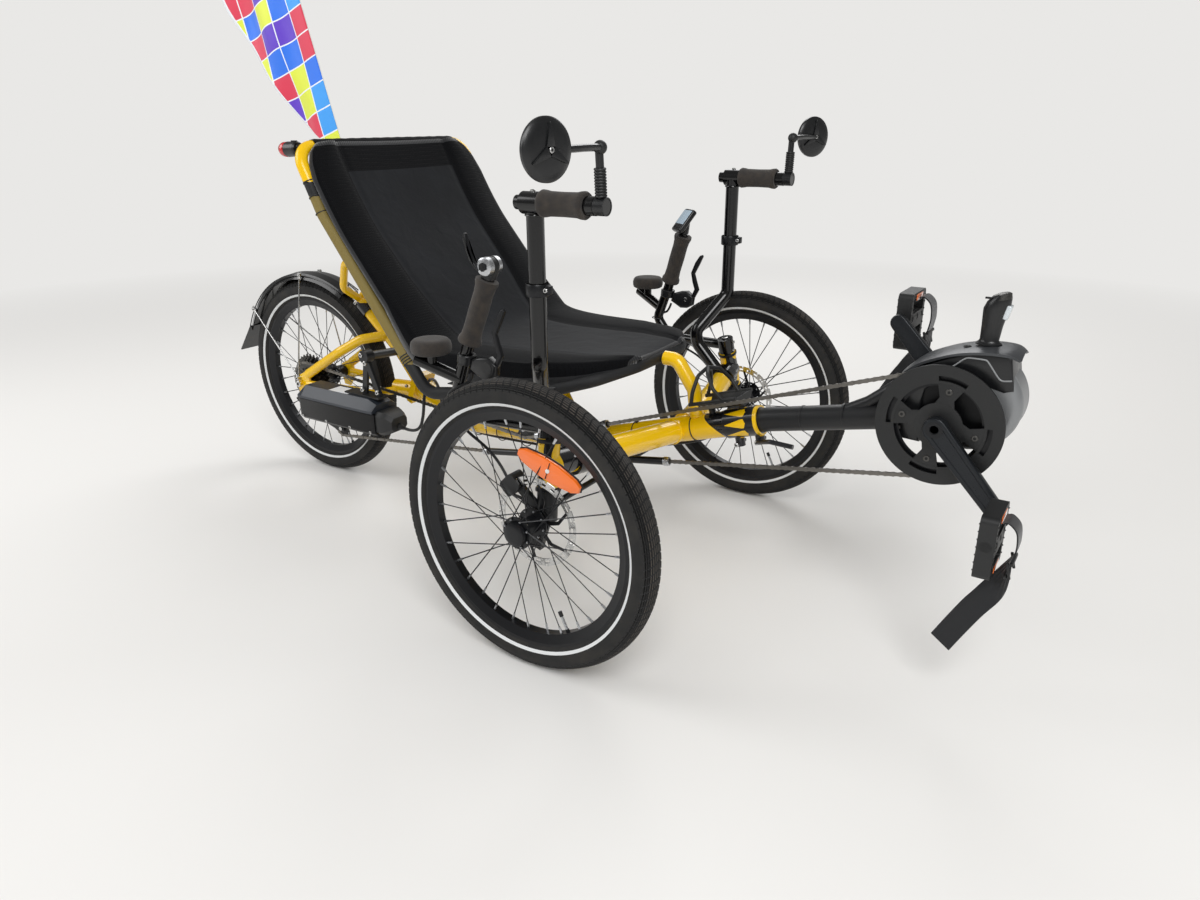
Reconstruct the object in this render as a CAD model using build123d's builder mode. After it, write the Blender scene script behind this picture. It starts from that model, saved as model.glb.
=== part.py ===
from build123d import *
import os
from math import acos, asin, atan2, cos, pi, radians, sin, sqrt, tan

# Recumbent tadpole trike with an electric drive unit at the cranks.
# X runs forward, Y to the trike's left, Z up from the ground. Sizes in millimetres.

# Main layout
front_axle_x = 305.3
wheelbase = 1006.0
track = 870.0
tyre_radius = 253.0
tyre_width = 50.0
crank_ahead = 544.0
crank_height = 423.0
crank_length = 170.0
crank_rest_deg = -47.9
spider_deg = crank_rest_deg + 38

# Running fits and small gaps
running_gap = 0.05
soft_gap = 0.8
thrust_gap = 0.5
chain_gap = 1.0

# Wheels
tyre_wall = 4.0
bead_radius = 208.0
rim_depth = 20.0
rim_half_width = 15.0
rim_neck_half_width = 8.0
spoke_count = 32
spoke_radius = 1.1
spoke_lacing_deg = 45.0
hub_radius = 15.0
hub_half_length = 30.0
flange_radius = 28.0
flange_offset = 21.0
flange_thickness = 3.0
rear_flange_right = -18.0
rear_flange_left = 28.0
stub_axle_radius = 6.0
disc_radius = 80.0
disc_band = 13.0
disc_bore = 10.0
disc_thickness = 2.0
disc_clearance = 1.5

# Steering: kingpins lean inwards and back towards the top
kingpin_lean = 0.238
kingpin_caster = 0.105
kingpin_radius = 12.0
head_tube_radius = 19.0
head_tube_bottom = 293.0
head_tube_top = 380.0
kingpin_top = 404.0
steering_arm_back = 75.0
steering_arm_inset = 69.0
steering_arm_height = 190.0
tie_rod_rise = 18.0
tie_rod_radius = 6.0
tie_stud_radius = 4.0
tie_ball_radius = 8.0
tie_eye_radius = 14.0
tie_eye_height = 10.0
tie_open_radius = 10.8

# Frame tubes
spine_radius = 25.0
boom_radius = 22.5
boom_overlap = 120.0
cross_arm_radius = 23.0
hoop_radius = 14.0
seat_post_radius = 13.0
dropout_y = 72.0
dropout_thickness = 6.0
upper_stay_radius = 12.0
lower_stay_radius = 9.5
upright_radius = 15.0
rear_axle_radius = 5.0

# Bottle cage
bottle_radius = 37.0
cage_wall = 3.6
cage_length = 88.0
cage_boss_length = 8.0
cage_boss_pitch = 64.0
cage_rail_deg = 60.0

# Clamp collar round the spine's front end
collar_length = 70.0
collar_wall = 3.0

# Seat
seat_tube_radius = 12.5
seat_tube_y = 246.0
seat_cross_radius = 9.0
sling_edge = 10.0
sling_thickness = 10.0
yoke_radius = 9.0

# Handlebars and the stand-up bars with mirrors
handlebar_radius = 11.0
grip_radius = 17.0
wrist_pad_radius = 36.0
wrist_pad_thickness = 25.0
assist_radius = 14.0
assist_grip_radius = 18.5
mirror_radius = 49.0
mirror_thickness = 9.0

# Drive
chain_y = -52.6
chain_height = 8.0
chain_width = 5.0
link_pitch = 12.7
link_waist = 1.5
tooth_depth = 3.2
chainring_pitch_radius = 89.0
sprocket_pitch_radius = 46.0
jockey_pitch_radius = 20.0
idler_pitch_radius = 24.0
return_bend_radius = 600.0
chain_tube_radius = 7.5
guard_radius = 99.0
crank_axle_radius = 12.0
crank_arm_y = 73.0
crank_arm_thickness = 14.0
pedal_axle_radius = 6.0
pedal_width = 90.0
pedal_height = 100.0
pedal_thickness = 25.0
pedal_y = 150.0
strap_width = 38.0
strap_thickness = 3.0
motor_half_width = 40.0
drum_radius = 78.0

# Mudguard
guard_gap = 14.0
guard_half_width = 31.0
guard_sheet = 2.5

# Places that follow from the layout: front axle, rear axle and crank axle along X
fa = front_axle_x
ra = front_axle_x - wheelbase
cx = front_axle_x + crank_ahead
axle_height = tyre_radius
wheel_y = track / 2

os.makedirs("parts", exist_ok=True)


def save(piece, name):
    piece.part.label = name
    export_step(piece.part, f"parts/{name}.step")


# A bent tube along straight runs joined by arcs
def add_tube(points, radius, bend, mode=Mode.ADD):
    with BuildLine() as path:
        FilletPolyline(*points, radius=bend)
    with BuildSketch(Plane(origin=path.line @ 0, z_dir=path.line % 0)) as section:
        Circle(radius)
    sweep(sections=section.sketch, path=path.line, mode=mode)


# A straight round rod between two points
def add_rod(start, end, radius, mode=Mode.ADD):
    run = Vector(*end) - Vector(*start)
    with BuildSketch(Plane(origin=start, z_dir=run)) as section:
        Circle(radius)
    extrude(section.sketch, amount=run.length, mode=mode)


# A flat bar between two points, its width along the given direction
def add_bar(start, end, width, thickness, across, mode=Mode.ADD):
    run = Vector(*end) - Vector(*start)
    with BuildSketch(Plane(origin=start, x_dir=across, z_dir=run)) as section:
        Rectangle(width, thickness)
    extrude(section.sketch, amount=run.length, mode=mode)


# A ball centred on a point
def add_ball(centre, radius, mode=Mode.ADD):
    with Locations(centre):
        Sphere(radius, mode=mode)


# Sketch plane through a wheel's axis: local x is radial, local y runs along Y
def radial_plane(centre, angle_deg=90.0):
    a = radians(angle_deg)
    return Plane(origin=centre, x_dir=(cos(a), 0, sin(a)), z_dir=(-sin(a), 0, cos(a)))


# Upright sketch plane seen from the trike's right: local x is X, local y is Z
def side_plane(y, x=0.0, z=0.0):
    return Plane(origin=(x, y, z), x_dir=(1, 0, 0), z_dir=(0, -1, 0))


def shifted(point, shift):
    return (point[0] + shift[0], point[1] + shift[1], point[2] + shift[2])


def along(direction, distance):
    return (direction.X * distance, direction.Y * distance, direction.Z * distance)


# A point on a kingpin's axis at a height, and that axis' upward direction
def kingpin_point(side, z):
    return (fa + (axle_height - z) * kingpin_caster, side * (wheel_y - z * kingpin_lean), z)


def kingpin_direction(side):
    return Vector(-kingpin_caster, -side * kingpin_lean, 1).normalized()


# Points of a line in the side view, moved to its left by a distance, with mitred corners
def offset_line(points, distance):
    normals = []
    for (x0, z0), (x1, z1) in zip(points, points[1:]):
        length = sqrt((x1 - x0) ** 2 + (z1 - z0) ** 2)
        normals.append(((z0 - z1) / length, (x1 - x0) / length))
    result = []
    for i, (x, z) in enumerate(points):
        before = normals[max(i - 1, 0)]
        after = normals[min(i, len(normals) - 1)]
        scale = distance / (1 + before[0] * after[0] + before[1] * after[1])
        result.append((x + (before[0] + after[0]) * scale, z + (before[1] + after[1]) * scale))
    return result


# Chain path: pulleys as (x, z, radius) in the order of travel, radius negative where it turns clockwise
chain_pulleys = (
    (cx, crank_height, chainring_pitch_radius),
    (fa - 298, 260, -idler_pitch_radius),
    (ra, axle_height, sprocket_pitch_radius),
    (ra + 24, axle_height - 81, -jockey_pitch_radius),
    (ra + 114, axle_height - 107, jockey_pitch_radius),
    (fa - 496, 775, return_bend_radius),
)


# Direction of the left-hand normal on the run from one pulley to the next
def run_normal(first, second):
    dx = second[0] - first[0]
    dz = second[1] - first[1]
    return atan2(dz, dx) + acos((second[2] - first[2]) / sqrt(dx * dx + dz * dz))


# A place on the run that leaves a pulley
def run_point(index, x):
    first = chain_pulleys[index]
    n = run_normal(first, chain_pulleys[(index + 1) % len(chain_pulleys)])
    start = (first[0] - first[2] * cos(n), first[1] - first[2] * sin(n))
    return (x, chain_y, start[1] - (x - start[0]) * cos(n) / sin(n))


# Places evenly spaced round the chain's pitch line, each with the direction of the line's inner side
def chain_places(count):
    stretches = []
    normals = [run_normal(first, second) for first, second in zip(chain_pulleys, chain_pulleys[1:] + chain_pulleys[:1])]
    for i, (x, z, r) in enumerate(chain_pulleys):
        xn, zn, rn = chain_pulleys[(i + 1) % len(chain_pulleys)]
        turn = (normals[i] - normals[i - 1]) % (2 * pi)
        if r < 0:
            turn -= 2 * pi
        leave = normals[i - 1] + turn
        stretches.append((abs(turn * r), (x, z, r, normals[i - 1]), (x, z, r, leave)))
        stretches.append((sqrt((xn - x) ** 2 + (zn - z) ** 2 - (rn - r) ** 2), (x, z, r, leave), (xn, zn, rn, leave)))
    total = sum(length for length, first, second in stretches)
    places = []
    for number in range(count):
        distance = total * number / count
        for length, first, second in stretches:
            if distance <= length:
                break
            distance -= length
        x, z, r, n = [a + (b - a) * distance / length for a, b in zip(first, second)]
        places.append((x - r * cos(n), z - r * sin(n), n))
    return total, places


# Outline that waves in at the middle of each link, a distance to the outer or inner side of the pitch line
def link_outline(lobe, waist):
    total, places = chain_places(2)
    links = 2 * round(total / link_pitch / 2)
    total, places = chain_places(2 * links)
    return [(x - (waist if number % 2 else lobe) * cos(n), z - (waist if number % 2 else lobe) * sin(n))
            for number, (x, z, n) in enumerate(places)]


# Toothed outline round the origin, its teeth one link apart at the pitch radius
def toothed(tip_radius, pitch_radius):
    count = round(2 * pi * pitch_radius / link_pitch)
    points = []
    for number in range(count):
        for share, radius in ((-0.32, tip_radius - tooth_depth), (-0.12, tip_radius), (0.12, tip_radius),
                              (0.32, tip_radius - tooth_depth)):
            angle = 2 * pi * (number + share) / count
            points.append((radius * cos(angle), radius * sin(angle)))
    return points


def add_toothed_wheel(centre, tip_radius, pitch_radius, thickness, mode=Mode.ADD):
    with BuildSketch(side_plane(centre[1], centre[0], centre[2])) as wheel:
        with BuildLine():
            Polyline(*toothed(tip_radius, pitch_radius), close=True)
        make_face()
    extrude(wheel.sketch, amount=thickness / 2, both=True, mode=mode)


def make_tyre(name, centre):
    section_radius = tyre_width / 2
    with BuildPart() as tyre:
        with BuildSketch(radial_plane(centre)):
            with Locations((tyre_radius - section_radius, 0)):
                Circle(section_radius)
                Circle(section_radius - tyre_wall, mode=Mode.SUBTRACT)
            with Locations((bead_radius - tyre_width, 0)):
                Rectangle(2 * tyre_width, 2 * tyre_width, mode=Mode.SUBTRACT)
        revolve(axis=Axis(centre, (0, 1, 0)))
    save(tyre, name)


def make_rim(name, centre, flange_ys):
    rim_inner = bead_radius - rim_depth
    head_radius = flange_radius - 4
    with BuildPart() as rim:
        with BuildSketch(radial_plane(centre)):
            with BuildLine():
                Polyline((bead_radius, -rim_half_width), (bead_radius, rim_half_width),
                         (bead_radius - 5, rim_half_width), (rim_inner, rim_neck_half_width),
                         (rim_inner, -rim_neck_half_width), (bead_radius - 5, -rim_half_width),
                         close=True)
            make_face()
        revolve(axis=Axis(centre, (0, 1, 0)))
        # Spokes cross, half of them on each side of a flange
        for number in range(spoke_count):
            flange_y = flange_ys[number % 2]
            pull = 1 if number % 4 < 2 else -1
            rim_angle = radians(360 * number / spoke_count)
            hub_angle = rim_angle - pull * radians(spoke_lacing_deg)
            head_y = flange_y + pull * (flange_thickness / 2 + spoke_radius + 0.9)
            nipple_y = (2.5 if flange_y > 0 else -2.5) + pull * (spoke_radius + 0.2)
            inner = shifted(centre, (head_radius * cos(hub_angle), head_y, head_radius * sin(hub_angle)))
            outer = shifted(centre, ((rim_inner + 1) * cos(rim_angle), nipple_y,
                                     (rim_inner + 1) * sin(rim_angle)))
            run = Vector(*outer) - Vector(*inner)
            with BuildSketch(Plane(origin=inner, z_dir=run)):
                RegularPolygon(spoke_radius, 4)
            extrude(amount=run.length)
    save(rim, name)


def make_front_hub(name, centre, side):
    with BuildPart() as hub:
        with BuildSketch(radial_plane(centre)):
            with Locations((hub_radius / 2, 0)):
                Rectangle(hub_radius, 2 * hub_half_length)
            for flange_y in (-flange_offset, flange_offset):
                with Locations((flange_radius / 2, flange_y)):
                    Rectangle(flange_radius, flange_thickness)
        revolve(axis=Axis(centre, (0, 1, 0)))
        add_rod(shifted(centre, (0, -side * hub_half_length, 0)),
                shifted(centre, (0, side * (hub_half_length - 4), 0)),
                stub_axle_radius + running_gap, mode=Mode.SUBTRACT)
    save(hub, name)


def make_disc(name, centre, side):
    face = shifted(centre, (0, -side * hub_half_length, 0))
    with BuildPart() as disc:
        with BuildSketch(Plane(origin=face, x_dir=(1, 0, 0), z_dir=(0, -side, 0))):
            Circle(disc_radius)
            Circle(disc_radius - disc_band, mode=Mode.SUBTRACT)
            Circle(flange_radius - 4)
            with PolarLocations(0, 6):
                Rectangle(disc_radius - disc_band / 2, 7, align=(Align.MIN, Align.CENTER))
            Circle(disc_bore, mode=Mode.SUBTRACT)
        extrude(amount=disc_thickness)
    save(disc, name)


def arm_end(side):
    return (fa - steering_arm_back, side * (wheel_y - steering_arm_inset), steering_arm_height)


def make_knuckle(name, side):
    axle = (fa, side * wheel_y, axle_height)
    up = kingpin_direction(side)
    boss_y = side * (wheel_y - hub_half_length - 14)
    boss_start = (fa, kingpin_point(side, axle_height)[1], axle_height)
    disc_y = side * (wheel_y - hub_half_length - disc_thickness / 2)
    with BuildPart() as knuckle:
        add_rod(kingpin_point(side, axle_height - 8), kingpin_point(side, head_tube_bottom - thrust_gap),
                head_tube_radius - 1)
        add_rod(kingpin_point(side, axle_height), kingpin_point(side, kingpin_top), kingpin_radius)
        add_rod(boss_start, (fa, boss_y, axle_height), 17)
        add_rod(boss_start, shifted(axle, (0, -side * (hub_half_length + thrust_gap), 0)), 8.5)
        add_rod(boss_start, shifted(axle, (0, side * (hub_half_length - 6), 0)), stub_axle_radius)
        # Steering arm with the tie rod's stud
        arm_knee = shifted(arm_end(side), (steering_arm_back - 22, side * 4, 0))
        add_bar(shifted(boss_start, (-2, 0, -4)), shifted(arm_knee, (-3, 0, -5)), 12, 18, (0, 1, 0))
        add_bar(shifted(arm_knee, (7, 0, 0)), arm_end(side), 12, 13, (0, 1, 0))
        add_rod(shifted(arm_end(side), along(up, -6)), shifted(arm_end(side), along(up, 6)), 11)
        add_rod(arm_end(side), shifted(arm_end(side), along(up, tie_rod_rise + 14)), tie_stud_radius)
        if side < 0:
            add_ball(shifted(arm_end(side), along(up, tie_rod_rise)), tie_ball_radius)
        # Brake caliper astride the disc, on its bracket
        with BuildSketch(Plane(origin=(fa - 50, disc_y + side * 7, axle_height + 56),
                               x_dir=(1, 0, 1), z_dir=(0, -side, 0))):
            RectangleRounded(36, 30, 7)
        extrude(amount=27)
        add_bar(shifted(boss_start, (-8, side * 6, 8)), (fa - 46, disc_y - side * 12, axle_height + 52),
                16, 8, (1, 0, 1))
        with BuildSketch(Plane(origin=(fa, disc_y, axle_height), x_dir=(1, 0, 0), z_dir=(0, 1, 0))):
            Circle(disc_radius + 2)
            Circle(disc_bore + 5, mode=Mode.SUBTRACT)
        extrude(amount=disc_thickness / 2 + disc_clearance, both=True, mode=Mode.SUBTRACT)
    save(knuckle, name)


def make_handlebar(name, side):
    bar_y = side * (wheel_y - 80)
    clamp = kingpin_point(side, (head_tube_top + kingpin_top) / 2 + 4)
    with BuildPart() as handlebar:
        add_tube([clamp, (fa - 172, bar_y, 394), (fa - 204, bar_y, 436), (fa - 176, bar_y, 512),
                  (fa - 132, bar_y - side * 14, 639)], handlebar_radius, 20)
        add_rod(kingpin_point(side, head_tube_top + thrust_gap), kingpin_point(side, kingpin_top + 8),
                kingpin_radius + 6)
        add_rod(kingpin_point(side, head_tube_top), kingpin_point(side, kingpin_top), kingpin_radius,
                mode=Mode.SUBTRACT)
        # Stub with the wrist pad's post
        add_rod((fa - 272, bar_y + side * 28, 490), (fa - 192, bar_y, 458), handlebar_radius)
        add_rod((fa - 243, bar_y + side * 18, 478), (fa - 243, bar_y + side * 18, 502), 9)
    save(handlebar, name)


def make_grip(name, side):
    bar_y = side * (wheel_y - 80)
    direction = Vector(44, -side * 14, 127).normalized()
    bottom = shifted((fa - 176, bar_y, 512), along(direction, 14))
    with BuildPart() as grip:
        with BuildSketch(Plane(origin=bottom, z_dir=direction)):
            Circle(grip_radius)
            Circle(handlebar_radius, mode=Mode.SUBTRACT)
        extrude(amount=116)
        with BuildSketch(Plane.XY.offset(502)):
            with Locations((fa - 243, bar_y + side * 18)):
                Circle(wrist_pad_radius)
        extrude(amount=wrist_pad_thickness)
    save(grip, name)


def make_controls(name, side):
    bar_y = side * (wheel_y - 80)
    direction = Vector(28, 0, 76).normalized()
    with BuildPart() as controls:
        # Split clamp round the bar below the grip, lever housing, brake lever
        with BuildSketch(Plane(origin=shifted((fa - 176, bar_y, 512), along(direction, -34)),
                               z_dir=direction)):
            Circle(handlebar_radius + 5)
            Circle(handlebar_radius, mode=Mode.SUBTRACT)
        extrude(amount=18)
        with BuildSketch(side_plane(bar_y)):
            with BuildLine():
                Polyline((fa - 168, 480), (fa - 163, 500), (fa - 124, 508), (fa - 106, 494),
                         (fa - 110, 474), (fa - 140, 466), close=True)
            make_face()
        extrude(amount=9, both=True)
        add_tube([(fa - 116, bar_y, 490), (fa - 100, bar_y, 512), (fa - 112, bar_y, 548),
                  (fa - 94, bar_y, 588)], 5, 14)
    save(controls, name)


wheel_rows = (
    # name ending, side
    ("right", -1),
    ("left", 1),
)
for ending, side in wheel_rows:
    wheel_centre = (fa, side * wheel_y, axle_height)
    make_tyre(f"front_tyre_{ending}", wheel_centre)
    make_rim(f"front_rim_{ending}", wheel_centre, (-flange_offset, flange_offset))
    make_front_hub(f"front_hub_{ending}", wheel_centre, side)
    make_disc(f"front_disc_{ending}", wheel_centre, side)
    make_knuckle(f"knuckle_{ending}", side)
    make_handlebar(f"handlebar_{ending}", side)
    make_grip(f"grip_{ending}", side)
    make_controls(f"controls_{ending}", side)

# Shift lever on the right bar's end, display on the left bar's end
bar_end_y = wheel_y - 94
bar_end = (fa - 132, -bar_end_y, 639)
end_direction = Vector(44, 14, 127).normalized()
with BuildPart() as shifter:
    add_rod(bar_end, shifted(bar_end, along(end_direction, 26)), 13)
    add_rod(shifted(bar_end, (4, -16, 18)), shifted(bar_end, (4, 16, 18)), 15)
    add_tube([shifted(bar_end, (0, -12, 22)), shifted(bar_end, (-24, -14, 38)),
              shifted(bar_end, (-32, -14, 66))], 4, 12)
save(shifter, "shifter")

bar_end = (fa - 132, bar_end_y, 639)
with BuildPart() as display:
    add_rod(shifted(bar_end, (0.5, 0, 1.5)), shifted(bar_end, (9, -3, 26)), 10)
    with BuildSketch(Plane(origin=shifted(bar_end, (6, -3, 24)), x_dir=(0, 1, 0), z_dir=(-0.45, 0, 0.9))):
        RectangleRounded(40, 58, 7)
    extrude(amount=13)
save(display, "display")

# Tie rod: a rod end on the right arm's ball, an open eye round the left arm's stud
rod_right = shifted(arm_end(-1), along(kingpin_direction(-1), tie_rod_rise))
rod_left = shifted(arm_end(1), along(kingpin_direction(1), tie_rod_rise))
with BuildPart() as tie_rod:
    add_rod(shifted(rod_right, (0, tie_eye_radius - 3, 0)), shifted(rod_left, (0, 3 - tie_eye_radius, 0)),
            tie_rod_radius)
    for side, eye in ((-1, rod_right), (1, rod_left)):
        up = kingpin_direction(side)
        add_rod(shifted(eye, along(up, -tie_eye_height / 2)), shifted(eye, along(up, tie_eye_height / 2)),
                tie_eye_radius)
    add_ball(rod_right, tie_ball_radius + running_gap, mode=Mode.SUBTRACT)
    up = kingpin_direction(1)
    add_rod(shifted(rod_left, along(up, -tie_eye_height)), shifted(rod_left, along(up, tie_eye_height)),
            tie_open_radius, mode=Mode.SUBTRACT)
save(tie_rod, "tie_rod")

# Rear wheel
rear_centre = (ra, 0, axle_height)
make_tyre("rear_tyre", rear_centre)
make_rim("rear_rim", rear_centre, (rear_flange_right, rear_flange_left))

with BuildPart() as rear_hub:
    with BuildSketch(radial_plane(rear_centre)):
        with Locations((hub_radius / 2, 0)):
            Rectangle(hub_radius, 2 * (dropout_y - dropout_thickness))
        for flange_y in (rear_flange_right, rear_flange_left):
            with Locations((flange_radius / 2, flange_y)):
                Rectangle(flange_radius, flange_thickness)
    revolve(axis=Axis(rear_centre, (0, 1, 0)))
    add_rod(shifted(rear_centre, (0, -dropout_y, 0)), shifted(rear_centre, (0, dropout_y, 0)),
            rear_axle_radius + running_gap, mode=Mode.SUBTRACT)
save(rear_hub, "rear_hub")

sprocket_rows = (
    # place along Y from the chain line, outer radius
    (-8.4, 25.0),
    (-4.2, 33.0),
    (0.0, 41.0),
    (4.2, 47.0),
    (8.4, 53.0),
    (12.6, 59.0),
    (16.8, 65.0),
)
with BuildPart() as cassette:
    with BuildSketch(radial_plane(rear_centre)):
        with Locations((hub_radius + 2.5, chain_y + 4.2)):
            Rectangle(5, 28)
    revolve(axis=Axis(rear_centre, (0, 1, 0)))
    for sprocket_shift, sprocket_radius in sprocket_rows:
        add_toothed_wheel(shifted(rear_centre, (0, chain_y + sprocket_shift, 0)), sprocket_radius,
                          sprocket_radius + chain_height / 2 + chain_gap, 1.8)
    add_rod(shifted(rear_centre, (0, -90, 0)), shifted(rear_centre, (0, 0, 0)), hub_radius, mode=Mode.SUBTRACT)
save(cassette, "cassette")

# Main frame: bent spine, two cross arms with head tubes, hoop and post under the seat
spine_front = (fa + 223, 0, 356)
spine_knee = (fa - 170, 0, 240)
spine_end = (ra + 352, 0, 282)
spine_direction = (Vector(*spine_front) - Vector(*spine_knee)).normalized()
plate_direction = Vector(-148, 0, 60).normalized()
with BuildPart() as main_frame:
    add_tube([spine_front, spine_knee, (ra + 500, 0, 222), spine_end], spine_radius, 130)
    for side in (-1, 1):
        middle = kingpin_point(side, (head_tube_bottom + head_tube_top) / 2)
        add_tube([(fa + 52, 0, 304), (fa + 30, side * 180, 324), middle], cross_arm_radius, 260)
        add_rod(kingpin_point(side, head_tube_bottom), kingpin_point(side, head_tube_top), head_tube_radius)
        add_rod(kingpin_point(side, head_tube_bottom - 30), kingpin_point(side, head_tube_top + 30),
                kingpin_radius + running_gap, mode=Mode.SUBTRACT)
    add_tube([(fa + 90, 0, 322), (fa + 80, 0, 392), (fa + 42, 0, 446), (fa + 15, 0, 446)], hoop_radius, 24)
    add_rod((fa - 180, 0, 248), (fa - 258.3, 0, 378.6), seat_post_radius)
    add_bar(shifted(spine_end, along(plate_direction, -8)), spine_end, 62, 74, (0, 1, 0))
    add_rod(shifted(spine_front, along(spine_direction, -boom_overlap)),
            shifted(spine_front, along(spine_direction, 5)), boom_radius, mode=Mode.SUBTRACT)
save(main_frame, "main_frame")

# Bottle cage on the spine ahead of the hoop: trough, end stop, side rails and legs that meet over the bottle
cage_middle = Vector(fa + 115, 0, spine_knee[2] + 285 * tan(asin(spine_direction.Z)))
cage_up = Vector(-spine_direction.Z, 0, spine_direction.X)
cage_axis_height = spine_radius + cage_boss_length + cage_wall + bottle_radius


# A place on the cage's wall, an angle up from its lowest line
def cage_point(forward, angle_deg, side=1):
    reach = bottle_radius + cage_wall
    height = cage_axis_height - reach * cos(radians(angle_deg))
    place = cage_middle + spine_direction * forward + cage_up * height
    return (place.X, side * reach * sin(radians(angle_deg)), place.Z)


with BuildPart() as bottle_cage:
    trough_plane = Plane(origin=cage_middle + spine_direction * 4 + cage_up * cage_axis_height,
                         x_dir=(0, 1, 0), z_dir=spine_direction)
    with BuildSketch(trough_plane) as trough:
        Circle(bottle_radius + cage_wall)
        with Locations((0, -(bottle_radius + cage_wall) * cos(radians(cage_rail_deg)))):
            Rectangle(120, 90, align=(Align.CENTER, Align.MIN), mode=Mode.SUBTRACT)
    extrude(trough.sketch, amount=cage_length - 4)
    with BuildSketch(trough_plane) as bottle:
        Circle(bottle_radius)
    extrude(bottle.sketch, amount=cage_length - 8, mode=Mode.SUBTRACT)
    for side in (-1, 1):
        add_rod(cage_point(-12, cage_rail_deg, side), cage_point(cage_length, cage_rail_deg, side), cage_wall)
        for foot in (-8, 60):
            add_tube([cage_point(foot + (26 - foot) * share, angle, side)
                      for share, angle in ((0, cage_rail_deg), (0.35, 95), (0.7, 140), (1, 180))], cage_wall, 14)
    for forward in (14, 14 + cage_boss_pitch):
        foot = cage_middle + spine_direction * forward
        add_rod(foot + cage_up * (spine_radius - 8), foot + cage_up * (spine_radius + cage_boss_length + 1), 6)
    add_rod(spine_knee, spine_front, spine_radius, mode=Mode.SUBTRACT)
    add_rod(shifted(spine_front, along(spine_direction, -collar_length)), spine_front,
            spine_radius + collar_wall, mode=Mode.SUBTRACT)
save(bottle_cage, "bottle_cage")

# Rear frame: joint plate, short tube, upright, stays on both sides of the wheel, dropouts, fixed axle
upright_top = (ra + 180, 0, 461)
with BuildPart() as rear_frame:
    plate_face = shifted(spine_end, along(plate_direction, 0.1))
    plate_back = shifted(plate_face, along(plate_direction, 8))
    add_bar(plate_face, plate_back, 62, 74, (0, 1, 0))
    add_rod(shifted(plate_back, (6, 0, -12)), (ra + 270, 0, 268), 19)
    add_tube([shifted(plate_back, (2, 0, 8)), (ra + 292, 0, 362), upright_top], upright_radius, 60)
    add_bar(plate_face, shifted(plate_face, along(plate_direction, -40)), 120, 120, (0, 1, 0),
            mode=Mode.SUBTRACT)
    for side in (-1, 1):
        add_tube([(ra + 30, side * dropout_y, axle_height + 28), (ra + 146, side * 62, 352),
                  (ra + 206, side * 44, 387), (ra + 256, side * 6, 396)], upper_stay_radius, 40)
        add_tube([(ra + 26, side * dropout_y, axle_height), (ra + 120, side * 60, 256),
                  (ra + 236, side * 47, 256), (ra + 290, side * 6, 266)], lower_stay_radius, 40)
        with BuildSketch(side_plane(side * dropout_y)):
            with BuildLine():
                Polyline((ra - 15, axle_height - 6), (ra - 10, axle_height + 18),
                         (ra + 30, axle_height + 38), (ra + 34, axle_height - 10),
                         (ra + 14, axle_height - 40), (ra - 6, axle_height - 38), close=True)
            make_face()
        extrude(amount=dropout_thickness / 2, both=True)
    add_rod((ra, -dropout_y - 9, axle_height), (ra, dropout_y + 9, axle_height), rear_axle_radius)
    # Socket for the flag's pole on the upright's left side
    pole_direction = Vector(-250, 34, 732).normalized()
    pole_foot = (ra + 244, 28, 414)
    add_rod((ra + 222, 8, 428), (ra + 239, 26, 430), 5)
    add_rod(pole_foot, shifted(pole_foot, along(pole_direction, 36)), 8)
    add_rod(shifted(pole_foot, along(pole_direction, 4)), shifted(pole_foot, along(pole_direction, 40)), 4,
            mode=Mode.SUBTRACT)
save(rear_frame, "rear_frame")

# Seat: side tubes in the side view, from the top bow down to the heel and along the pan
seat_line = [(fa - 700, 832), (fa - 638, 704), (fa - 388, 372), (fa - 150, 400), (fa - 38, 434), (fa, 446)]
cross_z = 632.0
cross_x = fa - 638 + (704 - cross_z) * 250 / 332
with BuildPart() as seat_frame:
    add_tube([(fa - 700, 0, 832), (fa - 700, seat_tube_y, 832), (fa - 638, seat_tube_y, 704),
              (fa - 388, seat_tube_y, 372), (fa - 150, 212, 400), (fa - 40, 168, 433),
              (fa, 84, 446), (fa, 0, 446)], seat_tube_radius, 42)
    add_rod((cross_x, 0, cross_z), (cross_x, seat_tube_y, cross_z), seat_cross_radius)
    add_rod((fa - 263, 0, 386.5), (fa - 263, 230, 386.5), seat_cross_radius)
    mirror(about=Plane.XZ)
    # Clamp between the front bow and the hoop's end
    add_rod((fa, 0, 446), (fa + 15, 0, 446), seat_tube_radius - 1.5)
save(seat_frame, "seat_frame")

# Strut and yoke that hold the seat's back, with the clamp on the upright's top
strut_direction = Vector(-112, 0, 99).normalized()
with BuildPart() as seat_strut:
    add_rod(shifted(upright_top, along(strut_direction, -26)),
            shifted(upright_top, along(strut_direction, 4)), upright_radius + 4)
    add_rod(shifted(upright_top, along(strut_direction, -27)), upright_top, upright_radius,
            mode=Mode.SUBTRACT)
    strut_top = shifted(upright_top, along(strut_direction, 17))
    add_rod(upright_top, strut_top, 10)
    for side in (-1, 1):
        add_tube([shifted(strut_top, (0, 0, 2)), (ra + 168, side * 48, 508), (ra + 196, side * 60, 570),
                  (cross_x - 11, side * 60, cross_z)], yoke_radius, 24)
        add_rod((cross_x, side * 48, cross_z), (cross_x, side * 72, cross_z), seat_cross_radius + 3.5)
    add_rod((cross_x, -80, cross_z), (cross_x, 80, cross_z), seat_cross_radius, mode=Mode.SUBTRACT)
save(seat_strut, "seat_strut")

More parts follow.
